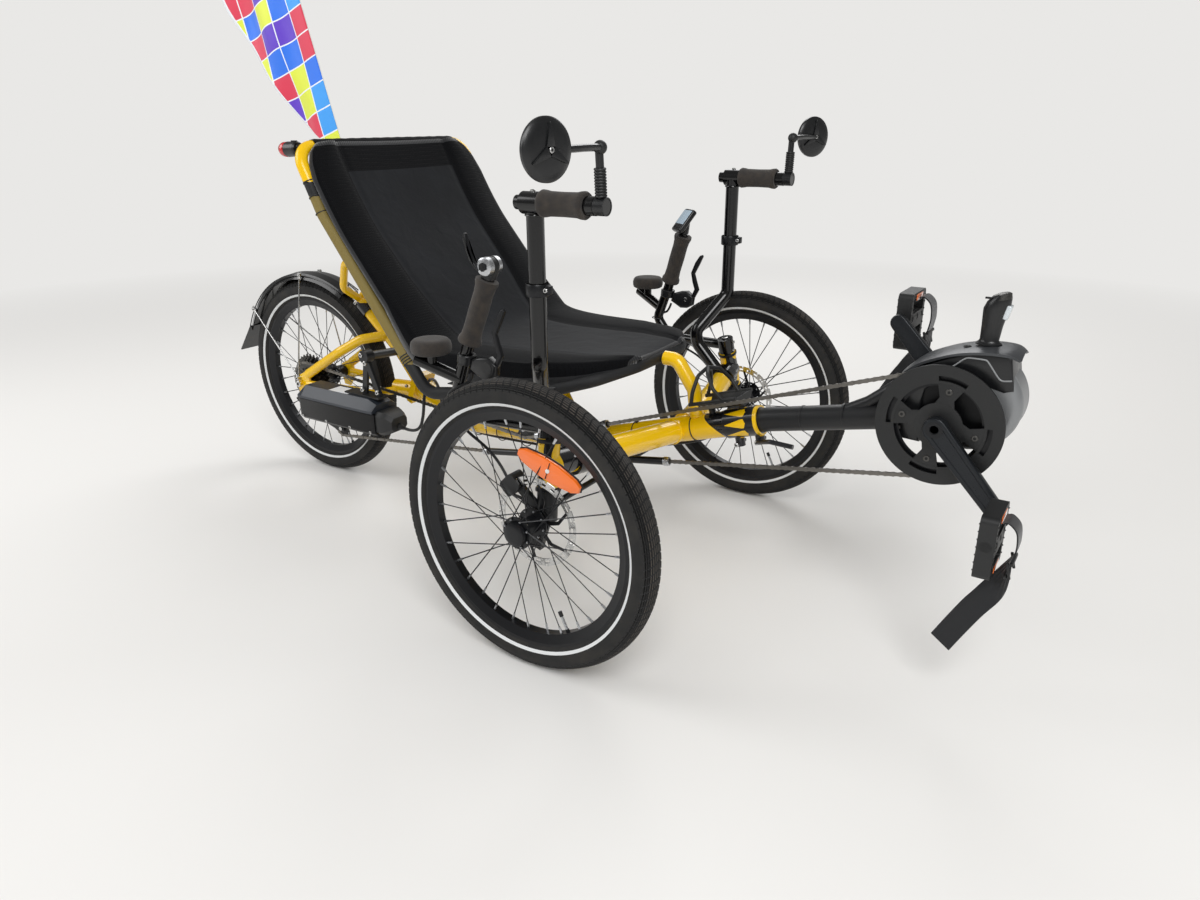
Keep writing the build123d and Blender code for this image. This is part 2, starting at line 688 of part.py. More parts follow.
# Seat sling, a plain closed solid over the tubes
heel_cut = [(fa - 403, 392), (fa - 363, 375)]
back_line = offset_line(seat_line[:2] + heel_cut + seat_line[3:], seat_tube_radius + soft_gap)
front_line = offset_line(seat_line[:2], seat_tube_radius + soft_gap + sling_thickness)
pan_top = [(fa - 412, 474), (fa - 281, 456), (fa - 173, 461), (fa - 79, 464), (fa + 6, 470)]
half_plan = [(fa - 900, seat_tube_y + sling_edge), (fa - 388, seat_tube_y + sling_edge),
             (fa - 160, 212 + sling_edge), (fa - 34, 168 + sling_edge), (fa + 14, 84 + sling_edge)]
with BuildPart() as seat_sling:
    with BuildSketch(side_plane(0)):
        with BuildLine():
            Polyline(*back_line, *reversed(front_line + pan_top), close=True)
        make_face()
    extrude(amount=400, both=True)
    with BuildSketch(Plane.XY):
        with BuildLine():
            Polyline(*half_plan, *[(x, -y) for x, y in reversed(half_plan)], close=True)
        make_face()
    extrude(amount=1000, mode=Mode.INTERSECT)
save(seat_sling, "seat_sling")

# Boom, sliding in the spine, with the drive unit's fork tube
boom_start = shifted(spine_front, along(spine_direction, 3 - boom_overlap))
boom_bend = shifted(spine_front, along(spine_direction, 15))
boom_front = (cx - 76, 0, 409)
fork_points = [(cx - 170, 0, 400), (cx - 128, 0, 424), (cx - 78, 0, 466)]
with BuildPart() as boom:
    add_tube([boom_start, boom_bend, boom_front], boom_radius, 300)
    add_tube(fork_points, 11, 60)
save(boom, "boom")

with BuildPart() as boom_clamp:
    collar_back = shifted(spine_front, along(spine_direction, -collar_length))
    add_rod(collar_back, spine_front, spine_radius + collar_wall)
    for back in (54, 12):
        ear = shifted(spine_front, along(spine_direction, -back))
        add_rod(shifted(ear, (8, 0, -22)), shifted(ear, (13, 0, -43)), 9)
        add_rod(shifted(ear, (11, -17, -37)), shifted(ear, (11, 17, -37)), 4.5)
    add_rod(shifted(collar_back, along(spine_direction, -1)), shifted(spine_front, along(spine_direction, 1)),
            spine_radius, mode=Mode.SUBTRACT)
    add_tube([shifted(spine_front, (-2, -15, -40)), shifted(spine_front, (30, -30, -28)),
              shifted(spine_front, (76, -34, -28))], 4.5, 12)
save(boom_clamp, "boom_clamp")

# Drive unit: round body with the crank bearing, dark cover over its top and back
drum_centre = (cx + 35, 0, crank_height + 36)
with BuildPart() as motor_drum:
    add_rod(shifted(drum_centre, (0, -motor_half_width, 0)), shifted(drum_centre, (0, motor_half_width, 0)),
            drum_radius)
    fillet(motor_drum.edges().filter_by(GeomType.CIRCLE), 14)
    add_rod((cx, -motor_half_width - 7, crank_height), (cx, motor_half_width + 7, crank_height), 24)
    add_rod((cx, -motor_half_width - 20, crank_height), (cx, motor_half_width + 20, crank_height),
            crank_axle_radius + running_gap, mode=Mode.SUBTRACT)
save(motor_drum, "motor_drum")

with BuildPart() as motor_housing:
    with BuildSketch(side_plane(0)):
        with BuildLine():
            Polyline((cx - 74, crank_height - 38), (cx - 88, crank_height + 30),
                     (cx - 58, crank_height + 80), (cx - 4, crank_height + 110),
                     (cx + 26, crank_height + 124), (cx + 70, crank_height + 124),
                     (cx + 94, crank_height + 127),
                     (cx + 101, crank_height + 118), (cx + 88, crank_height + 108),
                     (cx + 96, crank_height + 66), (cx + 84, crank_height + 60),
                     (cx + 40, crank_height + 72), (cx + 4, crank_height + 82),
                     (cx - 30, crank_height + 50), (cx - 36, crank_height + 10),
                     (cx - 30, crank_height - 40), close=True)
        make_face()
    extrude(amount=motor_half_width + 3, both=True)
    add_rod(shifted(drum_centre, (0, -motor_half_width - 0.1, 0)),
            shifted(drum_centre, (0, motor_half_width + 0.1, 0)), drum_radius + 0.1, mode=Mode.SUBTRACT)
    add_rod(boom_bend, boom_front, boom_radius, mode=Mode.SUBTRACT)
    add_tube(fork_points, 11, 60, mode=Mode.SUBTRACT)
save(motor_housing, "motor_housing")

light_x = cx + 46
light_z = crank_height + 124
with BuildPart() as headlight:
    with BuildSketch(Plane.XY.offset(light_z)):
        with Locations((light_x, 0)):
            Ellipse(15, 12)
    with BuildSketch(Plane.XY.offset(light_z + 62)):
        with Locations((light_x + 4, 0)):
            Ellipse(20, 15)
    with BuildSketch(Plane.XY.offset(light_z + 84)):
        with Locations((light_x + 8, 0)):
            Ellipse(15, 13)
    loft()
save(headlight, "headlight")

# Cranks: axle, two arms half a turn apart, pedal axles
crank_angle = radians(crank_rest_deg)
with BuildPart() as crankset:
    add_rod((cx, -crank_arm_y, crank_height), (cx, crank_arm_y, crank_height), crank_axle_radius)
    for side in (-1, 1):
        turn = -side
        tip_x = cx + turn * crank_length * cos(crank_angle)
        tip_z = crank_height + turn * crank_length * sin(crank_angle)
        inner_y = side * crank_arm_y
        arm_plane = Plane(origin=(0, inner_y, 0), x_dir=(1, 0, 0), z_dir=(0, -1, 0))
        with BuildSketch(arm_plane) as arm:
            with Locations((cx, crank_height)):
                Circle(19)
            with Locations((tip_x, tip_z)):
                Circle(14)
            make_hull()
        extrude(arm.sketch, amount=-side * crank_arm_thickness)
        outer_y = inner_y + side * crank_arm_thickness
        add_rod((cx, inner_y, crank_height), (cx, inner_y - side * 14, crank_height), 17)
        add_rod((tip_x, outer_y, tip_z), (tip_x, side * (pedal_y + 36), tip_z), pedal_axle_radius)
save(crankset, "crankset")

# Chainring inside the chain's loop, and the guard disc outside it
with BuildPart() as chainring:
    ring_radius = chainring_pitch_radius - chain_height / 2 - chain_gap
    add_toothed_wheel((cx, chain_y, crank_height), ring_radius, chainring_pitch_radius, 4)
    with BuildSketch(side_plane(chain_y, cx, crank_height)):
        Circle(ring_radius - 16)
        with PolarLocations(0, 4, start_angle=spider_deg):
            Rectangle(ring_radius, 22, align=(Align.MIN, Align.CENTER), mode=Mode.SUBTRACT)
        Circle(34, mode=Mode.SUBTRACT)
        Circle(17)
    extrude(amount=2, both=True, mode=Mode.SUBTRACT)
    with BuildSketch(side_plane(chain_y - 5, cx, crank_height)):
        Circle(guard_radius)
        Circle(17, mode=Mode.SUBTRACT)
    extrude(amount=3.5)
    with BuildSketch(side_plane(chain_y - 4, cx, crank_height)):
        Circle(guard_radius - 30)
        Circle(34, mode=Mode.SUBTRACT)
        with PolarLocations(0, 4, start_angle=spider_deg):
            Rectangle(guard_radius, 24, align=(Align.MIN, Align.CENTER), mode=Mode.SUBTRACT)
        with PolarLocations(0, 4, start_angle=spider_deg):
            SlotArc(CenterArc((0, 0), guard_radius - 22, -14, 28), 6)
    extrude(amount=6, mode=Mode.SUBTRACT)
save(chainring, "chainring")

for ending, side in wheel_rows:
    turn = -side
    tip = (cx + turn * crank_length * cos(crank_angle), side * pedal_y,
           crank_height + turn * crank_length * sin(crank_angle))
    with BuildPart() as pedal:
        with BuildSketch(Plane(origin=shifted(tip, (0, 0, -5)), x_dir=(0, 1, 0), z_dir=(1, 0, 0))):
            RectangleRounded(pedal_width, pedal_height, 10)
            with GridLocations(0, pedal_height / 2 + 4, 1, 2):
                RectangleRounded(pedal_width - 22, pedal_height / 2 - 24, 5, mode=Mode.SUBTRACT)
        extrude(amount=pedal_thickness / 2, both=True)
        add_rod(shifted(tip, (0, -pedal_width / 2 + 4, 0)), shifted(tip, (0, pedal_width / 2 - 4, 0)), 13)
        add_rod(shifted(tip, (0, -side * pedal_width, 0)), shifted(tip, (0, side * 38, 0)),
                pedal_axle_radius + running_gap, mode=Mode.SUBTRACT)
    save(pedal, f"pedal_{ending}")

    strap_line = [(14.4, 34), (36, 26), (40, -8), (24, -66), (-6, -116), (-46, -197)]
    strap_line = [(tip[0] + x, tip[2] + z) for x, z in strap_line]
    with BuildPart() as strap:
        with BuildSketch(side_plane(tip[1] + side * 8)):
            with BuildLine():
                Polyline(*offset_line(strap_line, strap_thickness / 2),
                         *reversed(offset_line(strap_line, -strap_thickness / 2)), close=True)
            make_face()
        extrude(amount=strap_width / 2, both=True)
    save(strap, f"pedal_strap_{ending}")

# Chain, a closed band on the pitch line, waisted at the middle of each link
with BuildPart() as chain:
    with BuildSketch(side_plane(chain_y)):
        with BuildLine():
            Polyline(*link_outline(chain_height / 2, chain_height / 2 - link_waist), close=True)
        make_face()
        with BuildLine():
            Polyline(*link_outline(-chain_height / 2, link_waist - chain_height / 2), close=True)
        make_face(mode=Mode.SUBTRACT)
    extrude(amount=chain_width / 2, both=True)
save(chain, "chain")

# Tubes round the chain under the seat, their clips, and the idler wheel on the spine
with BuildPart() as chain_tubes:
    for index, front_x, back_x in ((5, fa + 53, fa - 410), (0, fa - 91, fa - 262)):
        front, back = run_point(index, front_x), run_point(index, back_x)
        add_rod(front, back, chain_tube_radius)
        add_rod(front, back, chain_tube_radius - 2, mode=Mode.SUBTRACT)
    clip_low = run_point(5, fa - 165)
    clip_high = run_point(0, fa - 200)
    add_rod((fa - 165, -spine_radius - 3.6, 240), shifted(clip_low, (0, 6.5, 1)), 3.5)
    add_rod((fa - 200, -spine_radius - 3.6, 240), shifted(clip_high, (0, 6.5, -1)), 3.5)
    idler = (fa - 298, chain_y, 260)
    idler_radius = idler_pitch_radius - chain_height / 2 - chain_gap
    add_toothed_wheel(idler, idler_radius, idler_pitch_radius, 4)
    add_rod(shifted(idler, (0, -8, 0)), (idler[0], -spine_radius - 1, 260), 5)
    add_bar((idler[0], -spine_radius - 2.6, 224), (idler[0], -spine_radius - 2.6, 272), 34, 5, (1, 0, 0))
save(chain_tubes, "chain_tubes")

# Rear derailleur: link from the hanger, cage plates, two jockey wheels
guide = (chain_pulleys[3][0], chain_pulleys[3][1])
tension = (chain_pulleys[4][0], chain_pulleys[4][1])
jockey_radius = jockey_pitch_radius - chain_height / 2 - chain_gap
with BuildPart() as rear_derailleur:
    for plate_y, thickness in ((chain_y + 7, 1.8), (chain_y - 5.2, 1.8)):
        with BuildSketch(side_plane(plate_y)) as plate:
            with Locations(guide):
                Circle(9)
            with Locations(tension):
                Circle(10)
            make_hull()
        extrude(plate.sketch, amount=thickness)
    for place in (guide, tension):
        centre = (place[0], chain_y, place[1])
        add_toothed_wheel(centre, jockey_radius, jockey_pitch_radius, 4)
        add_rod(shifted(centre, (0, -8, 0)), shifted(centre, (0, 7.5, 0)), 4)
    add_rod((ra + 4, -dropout_y - 3, axle_height - 32), (ra + 4, -dropout_y - 16, axle_height - 32), 9)
    add_bar((ra + 2, -dropout_y - 14, axle_height - 30), (guide[0] + 4, chain_y - 16, guide[1] + 2), 24, 12,
            (1, 0, 0.3))
    add_rod((guide[0], chain_y - 6.9, guide[1]), (guide[0], chain_y - 24, guide[1]), 12)
save(rear_derailleur, "rear_derailleur")

# Battery beside the rear wheel and its carrier on the upright
battery_y = -130.0
battery_width = 80.0
battery_top = 287.0
battery_bottom = 205.0
with BuildPart() as battery:
    with BuildSketch(Plane(origin=(ra + 105, battery_y, (battery_top + battery_bottom) / 2),
                           x_dir=(0, 1, 0), z_dir=(1, 0, 0))):
        Rectangle(battery_width, battery_top - battery_bottom)
    extrude(amount=258)
    chamfer(battery.edges().filter_by(Axis.X).group_by(Axis.Z)[-1], 17)
    chamfer(battery.edges().filter_by(Axis.X).group_by(Axis.Z)[0], 7)
    with BuildSketch(Plane(origin=(ra + 363, battery_y, battery_bottom + 38), x_dir=(0, 1, 0),
                           z_dir=(1, 0, 0))):
        RectangleRounded(62, 58, 10)
    extrude(amount=43)
save(battery, "battery")

with BuildPart() as battery_mount:
    carrier = (ra + 317, battery_y, 380)
    add_rod((ra + 290, -8, 362), carrier, 10)
    add_rod(shifted(carrier, (0, 12, 0)), shifted(carrier, (0, -10, 0)), 15)
    for foot_x in (ra + 302, ra + 350):
        add_bar(shifted(carrier, (0, 0, -8)), (foot_x, battery_y, battery_top + 3), 14, 7, (1, 0, 0))
    add_bar((ra + 250, battery_y, battery_top + 2), (ra + 362, battery_y, battery_top + 2), 34, 4, (0, 1, 0))
    add_tube([shifted(plate_back, (2, 0, 8)), (ra + 292, 0, 362), upright_top], upright_radius, 60,
             mode=Mode.SUBTRACT)
save(battery_mount, "battery_mount")

# Mudguard: shallow arch over the rear tyre with a flared tail
guard_radius_in = tyre_radius + guard_gap
guard_front_deg = 60.0
guard_back_deg = 157.0
with BuildPart() as mudguard:
    with BuildSketch(radial_plane(rear_centre, guard_front_deg)):
        with BuildLine():
            Polyline((guard_radius_in - 10, -guard_half_width), (guard_radius_in + 4, -guard_half_width + 8),
                     (guard_radius_in + 7, 0), (guard_radius_in + 4, guard_half_width - 8),
                     (guard_radius_in - 10, guard_half_width),
                     (guard_radius_in - 10, guard_half_width - guard_sheet),
                     (guard_radius_in + 4 - guard_sheet, guard_half_width - 9.5),
                     (guard_radius_in + 7 - guard_sheet, 0),
                     (guard_radius_in + 4 - guard_sheet, -guard_half_width + 9.5),
                     (guard_radius_in - 10, -guard_half_width + guard_sheet), close=True)
        make_face()
    revolve(axis=Axis(rear_centre, (0, -1, 0)), revolution_arc=guard_back_deg - guard_front_deg)
    tail = radians(guard_back_deg)
    tail_start = (ra + (guard_radius_in + 3) * cos(tail), 0, axle_height + (guard_radius_in + 3) * sin(tail))
    add_bar(shifted(tail_start, (3, 0, 5)), (ra - 303, 0, 291), 58, 3, (0, 1, 0))
save(mudguard, "mudguard")

with BuildPart() as mudguard_stays:
    for side in (-1, 1):
        for angle in (92.0, 143.0):
            a = radians(angle)
            top = (ra + (guard_radius_in - 6) * cos(a), side * (guard_half_width + 2.6),
                   axle_height + (guard_radius_in - 6) * sin(a))
            add_rod(top, (ra - 4, side * (dropout_y + 6.5), axle_height + 14), 2)
        add_rod((ra - 4, side * (dropout_y + 3), axle_height + 14),
                (ra - 4, side * (dropout_y + 9), axle_height + 14), 6)
    a = radians(guard_front_deg + 2)
    add_rod((ra + (guard_radius_in + 12.5) * cos(a), 0, axle_height + (guard_radius_in + 12.5) * sin(a)),
            (ra + 157, 0, 483), 4)
save(mudguard_stays, "mudguard_stays")

# Tail light behind the seat's top corner
tail_y = -222.0
with BuildPart() as tail_light:
    add_rod((fa - 713, tail_y, 832), (fa - 722, tail_y, 830), 8)
    add_rod((fa - 720, tail_y, 828), (fa - 772, tail_y, 826), 15)
    fillet(tail_light.edges().group_by(Axis.X)[0], 9)
save(tail_light, "tail_light")

# Flag on its pole, a soft sheet behind the pole
pole_start = shifted(pole_foot, along(pole_direction, 4.2))
pole_length = 1150.0
with BuildPart() as flag_pole:
    add_rod(pole_start, shifted(pole_foot, along(pole_direction, pole_length)), 4 - running_gap)
save(flag_pole, "flag_pole")

with BuildPart() as flag:
    edge_low = shifted(pole_foot, along(pole_direction, 430))
    edge_high = shifted(pole_foot, along(pole_direction, pole_length - 12))
    rearward = Vector(-pole_direction.Z, 0, pole_direction.X)
    flag_plane = Plane(origin=edge_low, x_dir=rearward, z_dir=pole_direction.cross(rearward) * -1)
    length = pole_length - 442
    with BuildSketch(flag_plane):
        with BuildLine():
            Polyline((4.3, 0), (85, 42), (257, length * 0.61), (238, length * 0.78), (150, length * 0.94),
                     (4.3, length), close=True)
        make_face()
    extrude(amount=0.8, both=True)
save(flag, "flag")

# Stand-up bars, their grips, and the mirrors at their front ends
bar_y = wheel_y - 83
foot_y = wheel_y - 145
with BuildPart() as assist_bars:
    arm_knee = Vector(fa + 30, 180, 324)
    arm_run = Vector(*kingpin_point(1, (head_tube_bottom + head_tube_top) / 2)) - arm_knee
    arm_direction = arm_run.normalized()
    arm_point = arm_knee + arm_run * ((foot_y - 180) / arm_run.Y)
    add_tube([(fa - 23, bar_y, 758), (fa - 23, bar_y, 512), (fa - 68, foot_y, 432), (fa - 62, foot_y, 404),
              (fa - 10, foot_y, 348)], assist_radius, 26)
    add_rod((fa - 54, bar_y + 4, 762), (fa + 110, bar_y + 4, 762), handlebar_radius)
    add_rod((fa - 41, bar_y + 4, 762), (fa - 6, bar_y + 4, 762), assist_radius + 3)
    add_rod((fa + 76, bar_y + 4, 762), (fa + 92, bar_y + 4, 762), assist_radius)
    add_rod((fa - 23, bar_y, 620), (fa - 23, bar_y, 640), assist_radius + 4)
    add_rod(arm_point - arm_direction * 15, arm_point + arm_direction * 15, cross_arm_radius + 6)
    add_rod(arm_point - arm_direction * 24, arm_point + arm_direction * 24, cross_arm_radius + 0.1,
            mode=Mode.SUBTRACT)
    mirror(about=Plane.XZ)
save(assist_bars, "assist_bars")

with BuildPart() as assist_grips:
    for side in (-1, 1):
        add_rod((fa - 6, side * (bar_y + 4), 762), (fa + 76, side * (bar_y + 4), 762), assist_grip_radius)
        add_rod((fa - 7, side * (bar_y + 4), 762), (fa + 77, side * (bar_y + 4), 762), handlebar_radius,
                mode=Mode.SUBTRACT)
save(assist_grips, "assist_grips")

with BuildPart() as mirrors:
    mirror_z = 843.0
    stalk = (fa + 101, bar_y + 4, 762)
    add_rod(stalk, (fa + 101, bar_y + 10, mirror_z), 6)
    add_rod((fa + 101, bar_y + 5, 775), (fa + 101, bar_y + 8, 815), 9)
    add_ball((fa + 103, bar_y + 10, mirror_z), 10)
    add_rod((fa + 106, bar_y + 10, mirror_z), (fa + 106, wheel_y + 50, mirror_z), 5.5)
    add_rod((fa + 104, wheel_y + 50, mirror_z), (fa + 104 - mirror_thickness, wheel_y + 50, mirror_z),
            mirror_radius)
    add_rod((fa + 92, bar_y + 4, 762), (fa + 111, bar_y + 4, 762), handlebar_radius, mode=Mode.SUBTRACT)
    mirror(about=Plane.XZ)
save(mirrors, "mirrors")
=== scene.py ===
import math

import bmesh
import bpy
from mathutils import Matrix, Vector


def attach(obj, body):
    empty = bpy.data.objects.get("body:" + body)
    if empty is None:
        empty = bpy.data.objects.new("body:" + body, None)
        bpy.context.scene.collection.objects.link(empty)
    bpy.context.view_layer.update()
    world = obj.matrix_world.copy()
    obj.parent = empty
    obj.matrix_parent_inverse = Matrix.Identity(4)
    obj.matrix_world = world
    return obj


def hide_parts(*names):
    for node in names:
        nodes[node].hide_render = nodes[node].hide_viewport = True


# Recumbent trike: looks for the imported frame. X forward, Y to its left, Z up, metres.

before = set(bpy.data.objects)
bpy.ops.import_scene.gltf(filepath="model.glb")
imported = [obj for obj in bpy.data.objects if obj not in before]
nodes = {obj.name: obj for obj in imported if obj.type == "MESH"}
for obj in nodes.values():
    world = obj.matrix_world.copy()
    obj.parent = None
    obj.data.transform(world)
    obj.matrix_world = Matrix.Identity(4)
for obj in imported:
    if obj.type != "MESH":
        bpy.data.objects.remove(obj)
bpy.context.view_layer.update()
mm = 0.001

trike = {
    "frontX": 0.3053,
    "rearX": -0.7007,
    "crankX": 0.8493,
    "wheelY": 0.435,
    "axleZ": 0.253,
    "crankZ": 0.423,
    "crankLength": 0.170,
    "crankRest": math.radians(-47.9),
    "chainY": -0.0526,
}
frontX, rearX, crankX = trike["frontX"], trike["rearX"], trike["crankX"]
wheelY, axleZ, crankZ, chainY = trike["wheelY"], trike["axleZ"], trike["crankZ"], trike["chainY"]

# Small tools used by every piece
def linear(code):  # sRGB hex to the linear colour that the shaders take
    parts = [int(code[i : i + 2], 16) / 255 for i in (1, 3, 5)]
    return tuple(p / 12.92 if p <= 0.04045 else ((p + 0.055) / 1.055) ** 2.4 for p in parts) + (1.0,)


def node(tree, kind, settings=None):
    # a new shader node; each setting is a plain value or another node's output to link
    made = tree.nodes.new(kind)
    for key, value in (settings or {}).items():
        if isinstance(value, bpy.types.NodeSocket):
            tree.links.new(value, made.inputs[key])
        elif isinstance(key, int) or key in made.inputs.keys():
            made.inputs[key].default_value = value
        else:
            setattr(made, key, value)
    return made


def reckon(tree, operation, *values, kind="ShaderNodeMath", output="Value"):
    # one step of maths on numbers and sockets
    return node(tree, kind, {"operation": operation, **dict(enumerate(values))}).outputs[output]


def reckonPlaces(tree, operation, *values, output="Value"):
    return reckon(tree, operation, *values, kind="ShaderNodeVectorMath", output=output)


def remap(tree, value, fromLow, fromHigh, low=0.0, high=1.0, **more):
    settings = {"From Min": fromLow, "From Max": fromHigh, "To Min": low, "To Max": high, "Value": value}
    return node(tree, "ShaderNodeMapRange", {**settings, **more}).outputs["Result"]


def fromMiddle(tree, value):  # how far a value is from the middle between two whole numbers
    part = reckon(tree, "FRACT", value)
    return reckon(tree, "ABSOLUTE", reckon(tree, "SUBTRACT", part, 0.5))


def place(tree):  # the object's own coordinates
    return node(tree, "ShaderNodeTexCoord").outputs["Object"]


def placeAlong(tree, letter):
    return node(tree, "ShaderNodeSeparateXYZ", {"Vector": place(tree)}).outputs[letter]


def cellPattern(tree, size, randomness=1.0, **more):  # cells of one real size, from 0 in their middle
    settings = {"Scale": 1 / size, "Randomness": randomness, "Vector": place(tree)}
    return node(tree, "ShaderNodeTexVoronoi", {**settings, **more}).outputs["Distance"]


def stepColours(tree, value, stops):  # colours that change at once along a value
    ramp = node(tree, "ShaderNodeValToRGB", {"Fac": value})
    ramp.color_ramp.interpolation = "CONSTANT"
    elements = ramp.color_ramp.elements
    for number, (start, code) in enumerate(stops):
        stop = elements[number] if number < 2 else elements.new(start)
        stop.position = start
        stop.color = linear(code)
    return ramp.outputs["Color"]


def paintOver(tree, shader, under, over, mask):  # base colour: one colour or socket over another
    under, over = (linear(colour) if isinstance(colour, str) else colour for colour in (under, over))
    mix = node(tree, "ShaderNodeMix", {"data_type": "RGBA", 6: under, 7: over, 0: mask})
    tree.links.new(mix.outputs[2], shader.inputs["Base Color"])


def addBump(tree, shader, height, strength, distance, **more):
    settings = {"Strength": strength, "Distance": distance, "Height": height}
    bump = node(tree, "ShaderNodeBump", {**settings, **more})
    tree.links.new(bump.outputs["Normal"], shader.inputs["Normal"])


def addGrain(tree, shader, size, height, roughSpread=0.0, base=0.5):
    # bumps of one real size, and the same noise as a slight change of gloss
    noise = node(tree, "ShaderNodeTexNoise", {"Scale": 1 / size, "Detail": 3.0, "Vector": place(tree)}).outputs["Fac"]
    addBump(tree, shader, noise, 0.6, height)
    if roughSpread:
        spread = remap(tree, noise, 0.3, 0.7, base - roughSpread, base + roughSpread)
        tree.links.new(spread, shader.inputs["Roughness"])


def addDustAndSunPatches(tree, shader, clean, patchColour, size, low, high, amount):
    # a broken film of paler patches over the base colour: road dust on the tyres and seat cloth, painted sunlight on
    # the foam grips
    noise = node(tree, "ShaderNodeTexNoise", {"Scale": 1 / size, "Detail": 6.0, "Vector": place(tree)})
    paintOver(tree, shader, clean, patchColour, remap(tree, noise.outputs["Fac"], low, high, 0.0, amount))


def startMaterial(name, colour, roughness, metallic=0.0, **more):
    material = bpy.data.materials.new(name)
    material.use_nodes = True
    tree = material.node_tree
    shader = tree.nodes["Principled BSDF"]
    shader.inputs["Base Color"].default_value = linear(colour)
    shader.inputs["Roughness"].default_value = roughness
    shader.inputs["Metallic"].default_value = metallic
    for key, value in more.items():
        shader.inputs[key.replace("_", " ")].default_value = value
    material.diffuse_color = linear(colour)
    return material, tree, shader


def grained(name, colour, roughness, metallic, size, height, spread=0.0, **more):
    # a material of one colour with fine grain; its size and height are in millimetres
    material, tree, shader = startMaterial(name, colour, roughness, metallic, **more)
    addGrain(tree, shader, size * mm, height * mm, spread, roughness)
    return material


def wear(material, *names):  # puts a material on parts of the CAD
    for name in names:
        nodes[name].data.materials.clear()
        nodes[name].data.materials.append(material)


def leftBy(distance):
    return Vector((0, distance, 0))


def radial(turn, reach=1.0):  # a spoke in a wheel's plane, turned up from straight ahead
    return Vector((math.cos(turn) * reach, 0, math.sin(turn) * reach))


def addLoose(bm, mesh):  # moves a loose mesh into the piece
    bm.from_mesh(mesh)
    bpy.data.meshes.remove(mesh)


def finishPiece(name, bm, materials, body, replaced=(), sharp=32.0):
    bmesh.ops.remove_doubles(bm, verts=bm.verts, dist=2e-6)
    bmesh.ops.recalc_face_normals(bm, faces=bm.faces)
    mesh = bpy.data.meshes.new(name)
    bm.to_mesh(mesh)
    bm.free()
    for material in materials:
        mesh.materials.append(material)
    mesh.shade_smooth()
    mesh.set_sharp_from_angle(angle=math.radians(sharp))
    piece = bpy.data.objects.new(name, mesh)
    bpy.context.scene.collection.objects.link(piece)
    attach(piece, body)
    if replaced:
        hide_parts(*replaced)
    return piece


def turnTo(start, direction):  # matrix that puts local Z along a direction
    return Matrix.Translation(start) @ Vector(direction).to_track_quat("Z", "Y").to_matrix().to_4x4()


def markNew(bm, before, index):
    for face in bm.faces:
        if face not in before:
            face.material_index = index


def thicken(bm, faces, run):  # pushes flat faces out into a solid
    made = bmesh.ops.extrude_face_region(bm, geom=faces)["geom"]
    bmesh.ops.translate(bm, verts=[v for v in made if isinstance(v, bmesh.types.BMVert)], vec=run)


def bevelEdges(bm, edges, width, segments=3):
    bmesh.ops.bevel(bm, geom=edges, offset=width, offset_type="OFFSET", segments=segments, profile=0.5,
                    affect="EDGES", material=-1)


def addRod(bm, start, end, radius, index=0, endRadius=None, segments=20):
    before = set(bm.faces)
    start, end = Vector(start), Vector(end)
    run = end - start
    bmesh.ops.create_cone(bm, cap_ends=True, segments=segments, radius1=radius,
                          radius2=radius if endRadius is None else endRadius, depth=run.length,
                          matrix=turnTo((start + end) / 2, run))
    markNew(bm, before, index)


def addCrossRod(bm, spot, near, far, radius, index=0, endRadius=None, segments=20):  # from one Y to another
    addRod(bm, Vector(spot) + leftBy(near), Vector(spot) + leftBy(far), radius, index, endRadius, segments)


def addBall(bm, centre, radius, index, segments):
    before = set(bm.faces)
    bmesh.ops.create_uvsphere(bm, u_segments=segments, v_segments=segments // 2, radius=radius,
                              matrix=Matrix.Translation(centre))
    markNew(bm, before, index)


def addBox(bm, centre, size, index=0, turn=None, bevel=0.0):
    before = set(bm.faces)
    matrix = Matrix.Translation(centre) @ (turn or Matrix.Identity(4)) @ Matrix.Diagonal((*size, 1))
    made = bmesh.ops.create_cube(bm, size=1.0, matrix=matrix)
    if bevel:
        bevelEdges(bm, list({e for v in made["verts"] for e in v.link_edges}), bevel)
    markNew(bm, before, index)


def addPlate(bm, outline, normal, thickness, index=0, bevel=0.0, segments=2):
    # a flat outline made thick both ways along its normal
    before = set(bm.faces)
    normal = Vector(normal).normalized()
    face = bm.faces.new([bm.verts.new(Vector(p) - normal * thickness / 2) for p in outline])
    thicken(bm, [face], normal * thickness)
    new = [f for f in bm.faces if f not in before]
    bmesh.ops.recalc_face_normals(bm, faces=new)
    if bevel:
        caps = {e for f in new if len(f.verts) == len(outline) and len(outline) > 4 for e in f.edges}
        bevelEdges(bm, list(caps) if caps else list({e for f in new for e in f.edges}), bevel, segments)
    markNew(bm, before, index)


def addLathe(bm, profile, centre, axis, steps=48, index=0):
    # rows are (distance along the axis, radius), spun round it; the index can depend on both
    before = set(bm.faces)
    axis = Vector(axis).normalized()
    across = axis.orthogonal().normalized()
    centre = Vector(centre)
    verts = [bm.verts.new(centre + axis * a + across * max(r, 0.0)) for a, r in profile]
    edges = [bm.edges.new(pair) for pair in zip(verts, verts[1:])]
    bmesh.ops.spin(bm, geom=verts + edges, cent=centre, axis=axis, dvec=(0, 0, 0), angle=2 * math.pi,
                   steps=steps, use_merge=True)
    new = [f for f in bm.faces if f not in before]
    bmesh.ops.remove_doubles(bm, verts=list({v for f in new for v in f.verts}), dist=2e-6)
    if not callable(index):
        markNew(bm, before, index)
        return
    for face in [f for f in bm.faces if f not in before]:
        middle = face.calc_center_median() - centre
        face.material_index = index(middle.dot(axis), (middle - axis * middle.dot(axis)).length)


